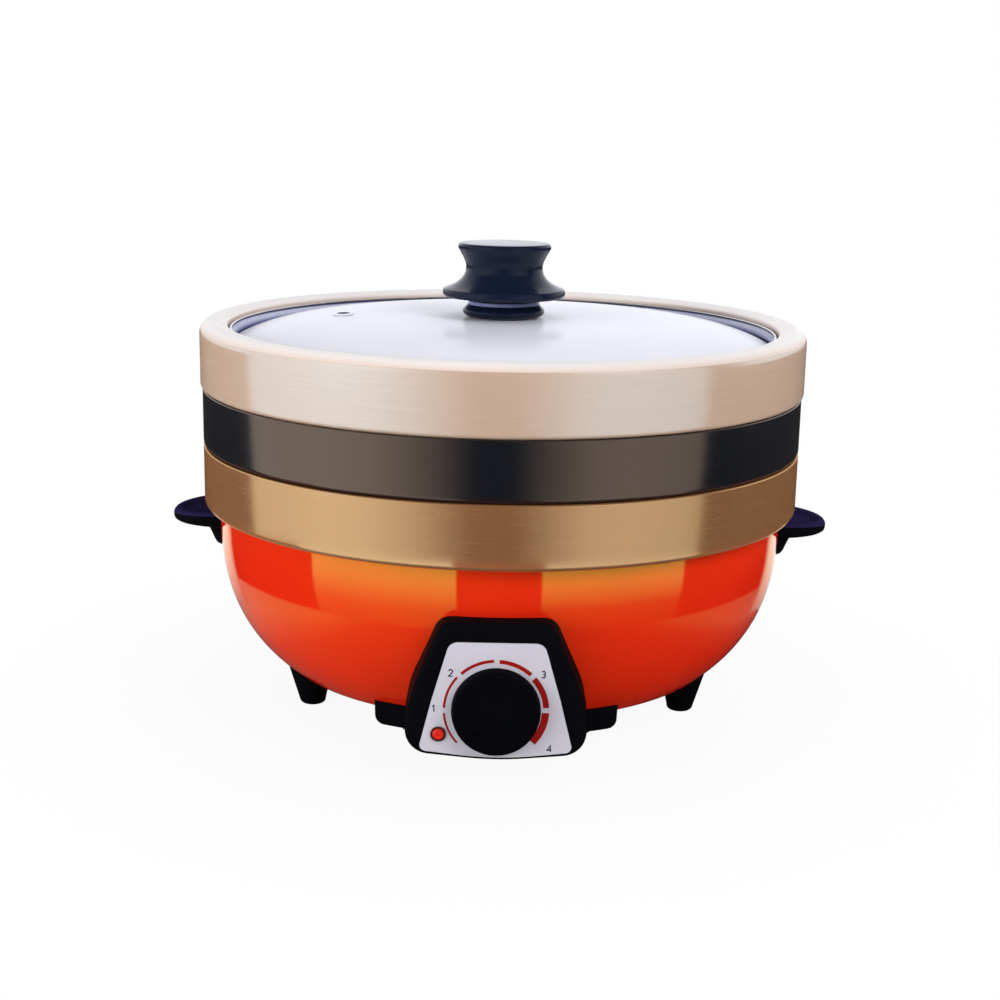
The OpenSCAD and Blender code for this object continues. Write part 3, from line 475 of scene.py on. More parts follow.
for part in frame["record"]["subparts"]:
    node = frame["nodes"][part["node"]]
    node.data.materials.clear()
    node.data.materials.append(MATERIALS[part["material_slot"]])
frame["nodes"]["indicator_ring"].data.materials[0] = surface("ring_maroon", (74, 14, 14), 0.4, vary=0.1, scale=400)
# Purple of the handles' upward faces: a painted sheen of the lit top of the black plastic, with no specular of its
# own.
HANDLE_TOP_PAINTED_SHEEN = surface("handle_top_painted_sheen", (35, 32, 66), 0.5, vary=0.1, grain=0.03, level=0.0)
# Lip of the champagne ring graded with height from the ring's tan to near white: a painted highlight of its lit top.
LIP_PAINTED_HIGHLIGHT = graded_material(
    "lip_painted_highlight", 184.5, 189,
    [(0, (204, 181, 164)), (0.35, (216, 199, 190)), (0.7, (222, 215, 212)), (1, (222, 217, 216))],
    0.35, 0.0,
)
# Inside of the lid's steel rim graded with height, navy, lavender white, navy: painted reflection and painted shade.
RIM_INSIDE_PAINTED_REFLECTION = graded_material(
    "rim_inside_painted_reflection", 176.5, 185.2,
    [(0, (22, 26, 66)), (0.5, (72, 78, 134)), (0.66, (206, 209, 230)), (0.84, (206, 209, 230)), (0.9, (30, 30, 60))],
    0.3, 0.2,
)
VENT_RING = surface("vent_ring", (226, 226, 236), 0.35, vary=0.03, scale=200)
# Lavender band on the neck under the knob's flange: a painted highlight on the dark knob plastic.
NECK_PAINTED_HIGHLIGHT = surface("neck_painted_highlight", (140, 143, 190), 0.3, vary=0.06, scale=200)


def finish_with(obj, body, slot, *nodes):
    """Gives an object its slot's material and places it."""
    obj.data.materials.append(MATERIALS[slot])
    return place(obj, body, slot, *nodes)


def second_finish(obj, mat, chosen):
    """Gives another finish to the faces whose radius and height are chosen."""
    obj.data.materials.append(mat)
    for face in obj.data.polygons:
        x, y, z = face.center / MM
        if chosen(math.hypot(x, y), z):
            face.material_index = 1


# Body shell


def in_shell_window(x, y, z):
    """Openings in the wall: for the thermostat in front, for the power inlet behind."""
    front = abs(x) < FRONT_WINDOW_HALF_W and y < -100 and abs(z - DIAL_Z) < FRONT_WINDOW_HALF_H
    rear = abs(x) < REAR_WINDOW_HALF_W and y > 99 and REAR_WINDOW_Z0 < z < REAR_WINDOW_Z1
    return front or rear


shell_profile = (
    [(SHELL_HOLE_R, SHELL_Z)]
    + bowl_curve(BOWL_FLAT_R, SHELL_Z, BOWL_R, BELLY_Z)
    + arc(BOWL_R - 2, RIM_Z - 2, 2, 0, 90)
    + [(SHELL_MOUTH_R, RIM_Z), (SHELL_MOUTH_R, RIM_Z - SHELL_SHEET)]
    + [(BOWL_R - SHELL_SHEET, RIM_Z - SHELL_SHEET - 0.8)]
    + bowl_curve(BOWL_FLAT_R - 0.6, SHELL_Z + SHELL_SHEET, BOWL_R - SHELL_SHEET, BELLY_Z)[::-1]
    + [(SHELL_HOLE_R, SHELL_Z + SHELL_SHEET)]
)
shell = lathe("body_shell_smooth", shell_profile, 360, 50, in_shell_window)
finish_with(shell, "base", "shell_paint", "body_shell")
SHELL_INSIDE = surface("shell_inside", (196, 62, 30), 0.55, vary=0.06, scale=60, grain=0.05, level=0.3)
second_finish(shell, SHELL_INSIDE,
              lambda r, z: SHELL_Z + 0.6 < z < RIM_Z - 1 and r < bowl_radius(z) - 0.6)


# Collar and rings

collar_profile = rounded(
    [
        (PAN_MOUTH_R, COLLAR_Z1, 0.4),
        (RING_R, COLLAR_Z1, 0.6),
        (RING_R, COLLAR_Z0, 2.5),
        (RING_R - 2.6, COLLAR_Z0, 0),
        (RING_R - 2.6, COLLAR_Z0 + 1.2, 0),
        (RING_R - 1.2, COLLAR_Z0 + 1.2, 1.2),
        (RING_R - 1.2, PAN_LIP_Z, 0.1),
        (PAN_MOUTH_R, PAN_LIP_Z, 0.2),
    ],
    8,
)
finish_with(lathe("pan_collar_smooth", collar_profile), "pan", "collar_bronze", "pan_collar")


def ring_foot(r, z, spigot_r):
    """Outside of a ring's foot from the wall to the tray seat, then its inside back up to the wall."""
    return [
        (r, z, RING_ROUND),
        (spigot_r, z, 0.4),
        (spigot_r, z - SPIGOT_H, 1.0),
        (TRAY_SEAT_R, z - SPIGOT_H, 0.3),
        (TRAY_SEAT_R, z - SPIGOT_H + SHEET, 0.3),
        (spigot_r - SHEET, z - SPIGOT_H + SHEET, 0.4),
        (spigot_r - SHEET, z + SHEET, 0.4),
        (r - SHEET, z + SHEET, 0.4),
    ]


lower_z = COLLAR_Z1 + SEAM
lower_profile = rounded(
    [(RING_R - SHEET, LOWER_Z1, 0.4), (RING_R, LOWER_Z1, 0.6)] + ring_foot(RING_R, lower_z, LOWER_SPIGOT_R), 8
)
finish_with(lathe("lower_ring_smooth", lower_profile), "lower_ring", "ring_black", "lower_ring")

top_z = LOWER_Z1 + SEAM
top_profile = rounded(
    [
        (TOP_R, TOP_Z1, 6.0),
        (LIP_R, TOP_Z1, 3.0),
        (WELL_R, TOP_Z1 - WELL_DROP, 1.2),
        (WELL_R, WELL_Z, 0.4),
        (WELL_R - WELL_SEAT_W, WELL_Z, 0.3),
        (WELL_R - WELL_SEAT_W, WELL_Z - SHEET, 0.3),
        (WELL_R + SHEET, WELL_Z - SHEET, 0.6),
        (WELL_R + SHEET, TOP_Z1 - WELL_DROP - SHEET, 0.5),
        (TOP_R - SHEET, TOP_Z1 - SHEET, 4.5),
    ]
    + ring_foot(TOP_R, top_z, TOP_SPIGOT_R)[::-1],
    8,
)
top_ring = finish_with(lathe("top_ring_smooth", top_profile), "top_ring", "ring_champagne", "top_ring")
# The lip's top and the well wall above the seat take the painted highlight.
second_finish(top_ring, LIP_PAINTED_HIGHLIGHT, lambda r, z: z > TOP_Z1 - 4.2 or (r < WELL_R + 0.3 and z > WELL_Z + 0.2))


# Lid


def glass_height(r):
    return GLASS_EDGE_Z + GLASS_RISE * (1 - (r / GLASS_R) ** GLASS_POWER)


def in_vent(x, y, z):
    return math.hypot(x - VENT_X, y) < VENT_HOLE_R


glass_steps = [4 + (GLASS_R - 4) * i / 96 for i in range(97)]
glass_profile = [(r, glass_height(r)) for r in glass_steps] + [
    (r, glass_height(r) + GLASS_T) for r in reversed(glass_steps)
]
finish_with(lathe("lid_glass_smooth", glass_profile, 288, skip=in_vent), "lid", "lid_glass", "lid_glass")

bead_z = GLASS_EDGE_Z + GLASS_T + 0.3
rim_in = LID_R - RIM_SHEET
rim_profile = rounded(
    [
        (LID_R - RIM_FLANGE_W, LID_Z, 0.2),
        (LID_R, LID_Z, 0.8),
        (LID_R, RIM_TOP, 0.7),
        (rim_in - 0.6, RIM_TOP, 0.4),
        (rim_in - 0.6, RIM_TOP - 1.2, 0.3),
        (rim_in, RIM_TOP - 1.8, 0.3),
        (rim_in, bead_z + 3.0, 0.5),
        (rim_in - 1.5, bead_z + 1.5, 0.8),
        (rim_in, bead_z, 0.1),
        (rim_in, LID_Z + RIM_SHEET, 0.1),
        (LID_R - RIM_FLANGE_W, LID_Z + RIM_SHEET, 0.2),
    ],
    6,
)
rim = finish_with(lathe("lid_rim_smooth", rim_profile), "lid", "steel", "lid_rim")
# The rim's inner wall takes the painted reflection and shade.
second_finish(rim, RIM_INSIDE_PAINTED_REFLECTION, lambda r, z: r < LID_R - 0.5 and z < RIM_TOP - 0.4)

vent_profile = rounded(
    [
        (VENT_BORE_R, -VENT_HALF_H, 0.1),
        (VENT_FLANGE_R, -VENT_HALF_H, 0.3),
        (VENT_FLANGE_R, -VENT_HALF_GRIP, 0.2),
        (VENT_NECK_R, -VENT_HALF_GRIP, 0),
        (VENT_NECK_R, VENT_HALF_GRIP, 0),
        (VENT_FLANGE_R, VENT_HALF_GRIP, 0.2),
        (VENT_FLANGE_R, VENT_HALF_H, 0.4),
        (VENT_BORE_R, VENT_HALF_H, 0.3),
    ],
    6,
)
vent = finish_with(lathe("vent_eyelet_smooth", vent_profile, 64), "lid", "steel", "vent_eyelet")
vent.data.materials[0] = VENT_RING
# The bore is given the black plastic as painted shade, for the dark inside of the pot seen through the hole.
second_finish(vent, MATERIALS["black_plastic"], lambda r, z: r < VENT_BORE_R + 0.15)
vent_tilt = math.atan(GLASS_POWER * GLASS_RISE * (-VENT_X) ** (GLASS_POWER - 1) / GLASS_R**GLASS_POWER)
vent_middle = Vector((VENT_X, 0, glass_height(-VENT_X) + GLASS_T / 2)) * MM
vent.data.transform(Matrix.Translation(vent_middle) @ Matrix.Rotation(-vent_tilt, 4, "Y"))

knob_top = KNOB_Z + KNOB_H
waist = KNOB_TOP_R - 4
flange = KNOB_FLANGE_R
knob_profile = (
    [(0, KNOB_Z + 15), (KNOB_BORE_R, KNOB_Z + 15), (KNOB_BORE_R, KNOB_Z), (17.4, KNOB_Z)]
    + cubic((17.8, KNOB_Z + 0.8), (20.5, KNOB_Z + 1.6), (flange - 6, KNOB_Z + 1.6), (flange - 2.2, KNOB_Z + 2), 12)
    + arc(flange - 1.6, KNOB_Z + 3.6, 1.6, -70, 0, 10)
    + arc(flange - 0.9, KNOB_Z + 5.4, 0.7, 10, 80, 6)
    + cubic((flange - 1.2, KNOB_Z + 6.3), (flange - 5, KNOB_Z + 7.6), (waist + 0.2, KNOB_Z + 10.2),
            (waist, KNOB_Z + 16.8))
    + cubic((waist, KNOB_Z + 16.8), (waist + 0.1, knob_top - 9.7), (KNOB_TOP_R - 2, knob_top - 6.9),
            (KNOB_TOP_R, knob_top - 3.2), 16)[1:]
    + arc(KNOB_TOP_R - 1.4, knob_top - 2.2, 1.4, 0, 84, 8)
    + [(20, knob_top - 0.7), (12, knob_top - 0.6), (0, knob_top - 0.6)]
)
finish_with(lathe("lid_knob_smooth", knob_profile, 192), "lid", "knob_plastic", "lid_knob")

skirt_profile = (
    [(KNOB_BORE_R, SKIRT_Z), (SKIRT_R - 4.2, SKIRT_Z)]
    + cubic((SKIRT_R - 3.8, SKIRT_Z + 0.1), (SKIRT_R - 1, SKIRT_Z + 0.5), (SKIRT_R, SKIRT_Z + 1.8),
            (SKIRT_R, SKIRT_Z + 3.3))
    + cubic((SKIRT_R - 0.1, SKIRT_Z + 3.7), (SKIRT_R - 0.4, SKIRT_Z + 4.6), (17.8, SKIRT_Z + 6),
            (17.6, SKIRT_Z + 7.6))
    + [(17.2, SKIRT_Z + SKIRT_H), (KNOB_BORE_R, SKIRT_Z + SKIRT_H)]
)
skirt = finish_with(lathe("knob_skirt_smooth", skirt_profile, 192), "lid", "knob_plastic", "knob_skirt")
# The top of the skirt, at the neck, takes the painted highlight.
second_finish(skirt, NECK_PAINTED_HIGHLIGHT, lambda r, z: z > SKIRT_Z + 6.4)


# Feet


def foot_mesh(name, x, y):
    """A tapered foot that leans a little outwards and ends at the bowl."""
    n, rows = 64, 14
    out = Vector((x, y)).normalized()
    turns = [2 * math.pi * k / n for k in range(n)]

    def ring_at(r, z, tuck=0.0):
        shift = FOOT_LEAN * (z / SHELL_Z) + FOOT_SHIFT
        mid = Vector((x, y)) + out * (shift - FOOT_LEAN)
        return [(mid.x + (r - tuck) * math.cos(a), mid.y + (r - tuck) * math.sin(a), z) for a in turns]

    loops = [ring_at(FOOT_SOLE_R, 0.0)]
    for a in range(0, 91, 15):
        t = math.radians(a)
        loops.append(ring_at(FOOT_R, FOOT_ROUND * (1 - math.cos(t)), FOOT_ROUND * (1 - math.sin(t))))
    foot_top = []
    for a in turns:
        px, py = x + FOOT_TOP_R * math.cos(a), y + FOOT_TOP_R * math.sin(a)
        low, high = SHELL_Z, SHELL_Z + 12
        for _ in range(30):
            z = (low + high) / 2
            if math.hypot(px, py) > bowl_radius(z) + 0.1:
                low = z
            else:
                high = z
        foot_top.append((px, py, high - 0.1 if high > SHELL_Z + 0.01 else SHELL_Z - 0.1))
    base = loops[-1]
    for i in range(1, rows + 1):
        u = i / rows
        loops.append([tuple(b + (t - b) * u for b, t in zip(base[k], foot_top[k])) for k in range(n)])
    return loft(name, loops, cap_first=True, cap_last=True, sharp=50)


for node, sx, sy in (("foot_front_left", -1, -1), ("foot_front_right", 1, -1),
                     ("foot_rear_left", -1, 1), ("foot_rear_right", 1, 1)):
    finish_with(foot_mesh(node + "_smooth", sx * FOOT_X, sy * FOOT_Y), "base", "black_plastic", node)


# Handles


def inset(line, d):
    """An open line moved to its left by d, with its ends kept on their own x."""
    out = []
    for i, p in enumerate(line):
        a, c = line[max(i - 1, 0)], line[min(i + 1, len(line) - 1)]
        t = Vector((c[0] - a[0], c[1] - a[1])).normalized()
        out.append((p[0] - t.y * d, p[1] + t.x * d))
    return out


HANDLE_TIP_X = 167.0
HANDLE_ROOT_X = 140.0
HANDLE_HALF_W = 23
EAR_SQUARENESS = 2.15
EAR_T = 8.0
PAD_HALF_W = 17.5
PAD_TOP_Z = HANDLE_Z1 - 7.5
PAD_H = 12.4
PAD_T = 3.7
PAD_TOP_EXTRA = 4.3
# Lines of an ear from its lower inside round its edge to the sunk top: inset, face they follow and lift above it.
EAR_LINES = [
    (3.2, "low", 0.0), (1.4, "low", 0.25), (0.4, "low", 0.9), (0.0, "low", 2.0),
    (0.0, "high", -1.8), (0.3, "high", -0.9), (0.9, "high", -0.25), (1.9, "high", 0.0),
    (3.6, "high", -0.1), (4.6, "high", -0.7), (5.6, "high", -1.7), (7.2, "high", -2.5), (9.0, "high", -2.8),
]


def ear_line():
    """Plan of a handle from its near root around the tip to its far root."""
    power = 2 / EAR_SQUARENESS
    reach = HANDLE_TIP_X - HANDLE_ROOT_X
    turns = [math.radians(90 - 90 * i / 28) for i in range(29)]
    half = [
        (HANDLE_ROOT_X + reach * max(math.cos(a), 0) ** power, -HANDLE_HALF_W * max(math.sin(a), 0) ** power)
        for a in turns
    ]
    return half + [(x, -y) for x, y in reversed(half[:-1])]


def ear_share(x):
    """Share of the way from a handle's root to its tip."""
    return (x - HANDLE_ROOT_X) / (HANDLE_TIP_X - HANDLE_ROOT_X)


def ear_top(x):
    u = ear_share(x)
    return HANDLE_Z1 - 0.6 * u - 1.4 * max(u, 0) ** 3


def ear_bottom(x):
    return HANDLE_Z1 - EAR_T + 0.6 * ear_share(x)


def handle_mesh(name, side):
    """An ear with a sunk top and the pad that holds it on the bowl."""
    line = ear_line()
    loops = []
    for d, level, lift in EAR_LINES:
        loop = []
        for x, y in inset(line, d):
            x = max(x, HANDLE_ROOT_X)
            z = (ear_bottom(x) if level == "low" else ear_top(x)) + lift
            loop.append((side * x, y, z))
        loops.append(loop)
    verts = [v for loop in loops for v in loop]
    n = len(line)
    faces = []
    for i in range(len(loops) - 1):
        for k in range(n - 1):
            faces.append((i * n + k, i * n + k + 1, (i + 1) * n + k + 1, (i + 1) * n + k))
    last = (len(loops) - 1) * n
    for k in range(n // 2):
        faces.append((last + k, last + k + 1, last + n - 2 - k, last + n - 1 - k))
        faces.append((k + 1, k, n - 1 - k, n - 2 - k))
    # The pad hangs down along the bowl.
    rows, cols = 18, 25
    start = len(verts)
    for back in (False, True):
        for i in range(rows + 1):
            v = i / rows
            z = PAD_TOP_Z - PAD_H * v
            half = PAD_HALF_W * (1 - max(0, (v - 0.55) / 0.45) ** 2.6 * 0.55)
            thick = PAD_T + PAD_TOP_EXTRA * (1 - v) ** 1.6
            for k in range(cols + 1):
                u = 2 * k / cols - 1
                swell = (1 - abs(u) ** 6) * (1 - v**8)
                r = bowl_radius(z) + (0.12 if back else 0.15 + thick * swell**0.5)
                y = u * half
                verts.append((side * math.sqrt(r * r - y * y), y, z))
    w = cols + 1
    sheet = (rows + 1) * w
    for i in range(rows):
        for k in range(cols):
            a = start + i * w + k
            faces.append((a, a + w, a + w + 1, a + 1))
            b = a + sheet
            faces.append((b, b + 1, b + w + 1, b + w))
    if side < 0:
        faces = [tuple(reversed(f)) for f in faces]
    return mesh_object(name, verts, faces, 50)


for name, side in (("handle_left", -1), ("handle_right", 1)):
    handle = handle_mesh(name + "_smooth", side)
    handle.data.materials.append(HANDLE_TOP_PAINTED_SHEEN)
    handle.data.materials.append(MATERIALS["black_plastic"])
    # Faces that look up take the purple painted sheen; the sides, underside and pad keep the black plastic as painted
    # shade.
    for face in handle.data.polygons:
        if face.normal.z < 0.3 or face.center.z < (HANDLE_Z1 - 5) * MM:
            face.material_index = 1
    place(handle, "base", "black_plastic", name)


# Control panel


def panel_outline(w0, w1, bulge, z0, z1, foot_round, top_round):
    """Tapered (x, z) outline with half-widths w0 at the foot and w1 at the top, and a sagging foot."""
    mid = (w0 + w1) / 2 + bulge
    zm = (z0 + z1) / 2
    corners = [
        (0, z0, 150), (w0, z0 + PANEL_SAG, foot_round), (mid, zm, 60), (w1, z1, top_round),
        (-w1, z1, top_round), (-mid, zm, 60), (-w0, z0 + PANEL_SAG, foot_round),
    ]
    return rounded(corners, 12)


def inset_closed(points, d):
    """A closed outline moved inwards by d."""
    out = []
    count = len(points)
    for i, p in enumerate(points):
        a, c = Vector(points[i - 1]), Vector(points[(i + 1) % count])
        t = (c - a).normalized()
        out.append((p[0] - t.y * d, p[1] + t.x * d))
    return out


def plate_hole():
    """Outline of the opening in the bezel that the face plate fills."""
    foot, top = PANEL_Z0 + PLATE_MARGIN_FOOT, PANEL_TOP_Z - PLATE_MARGIN_TOP
    return panel_outline(PLATE_FOOT_W, PLATE_TOP_W, 1, foot, top, 3, 5)


def bezel_mesh():
    """Frame from the plate's opening round its soft edge back to the bowl and the control box."""
    roundings = BEZEL_FOOT_ROUND, BEZEL_TOP_ROUND
    front = panel_outline(BEZEL_FOOT_W, BEZEL_TOP_W, BEZEL_BULGE, PANEL_Z0, PANEL_TOP_Z, *roundings)
    rear = panel_outline(
        BEZEL_FOOT_W + 1.5, BEZEL_TOP_W + 3, BEZEL_BULGE, PANEL_Z0, PANEL_TOP_Z + 1.2, *roundings
    )
    hole = plate_hole()
    rear_y = BOX_FRONT_R - 14

    def limit(z):
        return max(bowl_radius(z) + 0.1 if z > SHELL_Z else 0, BOX_FRONT_R + 0.1)

    def on_side(i, s):
        x = front[i][0] + (rear[i][0] - front[i][0]) * s
        z = front[i][1] + (rear[i][1] - front[i][1]) * s
        return x, -(PANEL_Y + (rear_y - PANEL_Y) * s), z

    def flat(points, y):
        return [(x, -y, z) for x, z in points]

    loops = [flat(hole, PANEL_Y - 0.8), flat(hole, PANEL_Y - 0.1), flat(inset_closed(hole, -0.25), PANEL_Y)]
    for a in range(0, 91, 15):
        d = BEZEL_EDGE * (1 - math.sin(math.radians(a)))
        y = PANEL_Y - BEZEL_EDGE * (1 - math.cos(math.radians(a)))
        loops.append(flat(inset_closed(front, d), y))
    start = BEZEL_EDGE / (PANEL_Y - rear_y)
    ends = []
    for i in range(len(front)):
        low, high = start, 1.0
        for _ in range(40):
            mid = (low + high) / 2
            x, y, z = on_side(i, mid)
            if math.hypot(x, y) > limit(z):
                low = mid
            else:
                high = mid
        ends.append(low)
    for k in range(1, 9):
        loops.append([on_side(i, start + (ends[i] - start) * k / 8) for i in range(len(front))])
    return loft("control_bezel_smooth", loops, sharp=35)


finish_with(bezel_mesh(), "base", "black_plastic", "control_bezel")


def plate_mesh():
    """Face plate with its holes for the thermostat's bushing and the lens."""
    lines = [
        inset_closed(plate_hole(), PLATE_GAP),
        arc(0, DIAL_Z, SHAFT_HOLE_R, 360, 0, 48)[:-1],
        arc(LENS_X, LENS_Z, LENS_HOLE_R, 360, 0, 48)[:-1],
    ]
    flat = [p for line in lines for p in line]
    count = len(flat)
    verts = [(x, -PLATE_FRONT_Y, z) for x, z in flat] + [(x, -PLATE_BACK_Y, z) for x, z in flat]
    faces = []
    for a, b, c in tessellate_polygon([[Vector((x, z, 0)) for x, z in line] for line in lines]):
        u, v = Vector(flat[b]) - Vector(flat[a]), Vector(flat[c]) - Vector(flat[a])
        if u.x * v.y - u.y * v.x < 0:
            b, c = c, b
        faces += [(a, b, c), (a + count, c + count, b + count)]
    start = 0
    for line in lines:
        n = len(line)
        for k in range(n):
            a, b = start + k, start + (k + 1) % n
            faces.append((a, a + count, b + count, b))
        start += n
    return mesh_object("face_plate_smooth", verts, faces, 30)


finish_with(plate_mesh(), "base", "plate_silver", "face_plate")


def ribbon(verts, faces, left, right, y, thick):
    """A thin printed band between two lines of (x, z) points on the face plate."""
    start = len(verts)
    n = len(left)
    for line, back in ((left, 0), (right, 0), (left, thick), (right, thick)):
        verts += [(x, -(y - back), z) for x, z in line]
    a, b, c, d = (start + k * n for k in range(4))
    for k in range(n - 1):
        faces += [
            (a + k, a + k + 1, b + k + 1, b + k),
            (c + k, d + k, d + k + 1, c + k + 1),
            (a + k, c + k, c + k + 1, a + k + 1),
            (b + k, b + k + 1, d + k + 1, d + k),
        ]
    faces += [(a, b, d, c), (a + n - 1, c + n - 1, d + n - 1, b + n - 1)]


PRINT_Y = 149.26
PRINT_T = 0.05
SCALE_R = 23.1
DIGIT_H = 3.0
DIGIT_PEN = 0.55

# Heat scale: start angle, end angle and width of each band, clockwise from the lower left.
SCALE_BANDS = [
    (222, 184, 0.9), (178, 139, 1.05), (133, 93, 1.35), (87, 48, 1.8), (42, 4, 2.6), (-2, -42, 3.2),
]


def scale_mesh():
    verts, faces = [], []
    for a0, a1, width in SCALE_BANDS:
        outer = arc(0, DIAL_Z, SCALE_R, a0, a1, 20)
        inner = arc(0, DIAL_Z, SCALE_R - width, a0, a1, 20)
        ribbon(verts, faces, outer, inner, PRINT_Y, PRINT_T)
    return mesh_object("heat_scale_print", verts, faces, 30)


# Digits as pen strokes in a box one unit high.
DIGITS = {
    "1": [[(0.12, 0.78), (0.34, 1.0), (0.34, 0.0)]],
    "2": [arc(0.3, 0.72, 0.28, 165, -35, 10) + [(0.02, 0.0), (0.6, 0.0)]],
    "3": [arc(0.28, 0.75, 0.25, 150, -90, 10) + arc(0.28, 0.25, 0.25, 90, -150, 10)],
    "4": [[(0.46, 0.0), (0.46, 1.0), (0.0, 0.3), (0.62, 0.3)]],
}
# Lower left corner of each digit on the plate.
DIGIT_PLACES = [("1", -28.0, 36.2), ("2", -20.8, 52.6), ("3", 19.4, 52.6), ("4", 22.6, 18.6)]


def stroke_sides(line, pen):
    """Both edges of a pen stroke along a line."""
    left, right = [], []
    for i, p in enumerate(line):
        a, c = line[max(i - 1, 0)], line[min(i + 1, len(line) - 1)]
        u = Vector((p[0] - a[0], p[1] - a[1]))
        v = Vector((c[0] - p[0], c[1] - p[1]))
        u = u.normalized() if u.length > 1e-9 else v.normalized()
        v = v.normalized() if v.length > 1e-9 else u
        t = (u + v).normalized()
        k = pen / 2 / max(t.dot(u), 0.45)
        left.append((p[0] - t.y * k, p[1] + t.x * k))
        right.append((p[0] + t.y * k, p[1] - t.x * k))
    return left, right


def numbers_mesh():
    verts, faces = [], []
    for text, x, z in DIGIT_PLACES:
        for line in DIGITS[text]:
            placed = [(x + px * DIGIT_H, z + pz * DIGIT_H) for px, pz in line]
            left, right = stroke_sides(placed, DIGIT_PEN)
            ribbon(verts, faces, left, right, PRINT_Y, PRINT_T)
    return mesh_object("heat_numbers_print", verts, faces, 30)


def attach_print(obj, mat, slot):
    obj.data.materials.append(mat)
    place(obj, "base", slot)


attach_print(scale_mesh(), surface("scale_red", (146, 14, 10), 0.6, vary=0.12, scale=500, level=0.1), "lens_red")
attach_print(numbers_mesh(), surface("number_ink", (34, 32, 54), 0.6, vary=0.1, scale=500, level=0.1), "black_plastic")


# Studio and camera

FLOOR_HALF = 6
# The floor's shadow fades out between these distances from the axis, in metres.
SHADOW_NEAR = 0.14
SHADOW_FAR = 0.3
SHADOW_GLOW = 0.93
floor_corners = [(sx * FLOOR_HALF, sy * FLOOR_HALF, 0) for sx, sy in ((-1, -1), (1, -1), (1, 1), (-1, 1))]
floor_mesh = bpy.data.meshes.new("floor")
floor_mesh.from_pydata(floor_corners, [], [(0, 1, 2, 3)])
floor = link_object("floor", floor_mesh)


def floor_material():
    """Plain white floor that keeps a soft shadow near the object and is full white further off."""
    mat, nodes, links, bsdf = new_material("floor")
    bsdf.inputs["Base Color"].default_value = (0.75, 0.75, 0.75, 1)
    bsdf.inputs["Roughness"].default_value = 0.8
    glow = nodes.new("ShaderNodeEmission")
    light = nodes.new("ShaderNodeLightPath")
    coord = nodes.new("ShaderNodeTexCoord")
    length = nodes.new("ShaderNodeVectorMath")
    length.operation = "LENGTH"
    links.new(coord.outputs["Object"], length.inputs[0])
    fade = map_range(nodes, links, length.outputs["Value"], SHADOW_NEAR, SHADOW_FAR, SHADOW_GLOW, 1.0, smooth=True)
    share = math_node(nodes, links, "MULTIPLY", fade, light.outputs["Is Camera Ray"])
    mix = nodes.new("ShaderNodeMixShader")
    links.new(share, mix.inputs["Fac"])
    links.new(bsdf.outputs["BSDF"], mix.inputs[1])
    links.new(glow.outputs["Emission"], mix.inputs[2])
    links.new(mix.outputs["Shader"], nodes["Material Output"].inputs["Surface"])
    return mat


floor_mesh.materials.append(floor_material())
floor.visible_glossy = False

world = bpy.data.worlds.new("studio")
bpy.context.scene.world = world
world.use_nodes = True
wn, wl = world.node_tree.nodes, world.node_tree.links
background = wn["Background"]
background.inputs["Color"].default_value = (1, 1, 1, 1)
path = wn.new("ShaderNodeLightPath")
sky = coordinates(wn, wl, "Generated")

# Mirrored surroundings: a white backdrop behind the pot, a dark room on the camera's side, below and overhead.
ROOM = 0.03
CEILING = 0.15
FILL = 0.5
behind = map_range(wn, wl, sky["Y"], -0.15, 0.35, ROOM, 1.0, smooth=True)
above = map_range(wn, wl, sky["Z"], -0.08, 0.0, ROOM, 1.0, smooth=True)
overhead = map_range(wn, wl, sky["Z"], 0.5, 0.9, 1.0, CEILING, smooth=True)
backdrop = math_node(wn, wl, "MULTIPLY", math_node(wn, wl, "MULTIPLY", behind, above), overhead)
glossy = wn.new("ShaderNodeMix")
glossy.inputs["A"].default_value = FILL
wl.new(path.outputs["Is Glossy Ray"], glossy.inputs["Factor"])
wl.new(backdrop, glossy.inputs["B"])
seen = math_node(wn, wl, "MAXIMUM", path.outputs["Is Camera Ray"], path.outputs["Is Transmission Ray"])
wl.new(math_node(wn, wl, "MAXIMUM", seen, glossy.outputs["Result"]), background.inputs["Strength"])


def glossy_only(obj):
    obj.visible_camera = False
    obj.visible_diffuse = False
    obj.visible_shadow = False
    obj.visible_transmission = False


def card(name, azimuths, heights, radius, droop=0.0):
    """A curved reflector round the pot axis that only glossy rays see. Azimuth 0 is the camera's side.

    Azimuths and heights are pairs of place and strength, and the two strengths are multiplied.
    Droop is how far the upper edge is lower at 100 degrees than in front.
    """
    n = 48
    a0, a1 = azimuths[0][0], azimuths[-1][0]
    z0, z1 = heights[0][0], heights[-1][0]
    verts, faces, spots = [], [], []
    for i in range(n + 1):
        a = math.radians(a0 + (a1 - a0) * i / n)
        x, y = radius * math.sin(a), -radius * math.cos(a)
        verts += [(x, y, z0), (x, y, z1 - droop * (a / math.radians(100)) ** 2)]
        spots += [(i / n, 0), (i / n, 1)]
    for i in range(n):
        faces.append((2 * i, 2 * i + 2, 2 * i + 3, 2 * i + 1))
    mesh = bpy.data.meshes.new(name)
    mesh.from_pydata(verts, [], faces)
    layer = mesh.uv_layers.new(name="across_and_up")
    for loop in mesh.loops:
        layer.data[loop.index].uv = spots[loop.vertex_index]
    mat, nodes, links, glow = glow_material(name)
    axes = coordinates(nodes, links, "UV")
    across = ramp_node(nodes, links, axes["X"], [((a - a0) / (a1 - a0), v) for a, v in azimuths])
    rise = ramp_node(nodes, links, axes["Y"], [((z - z0) / (z1 - z0), v) for z, v in heights])
    both = nodes.new("ShaderNodeVectorMath")
    both.operation = "MULTIPLY"
    links.new(across, both.inputs[0])
    links.new(rise, both.inputs[1])
    links.new(both.outputs["Vector"], glow.inputs["Color"])
    mesh.materials.append(mat)
    glossy_only(link_object(name, mesh))


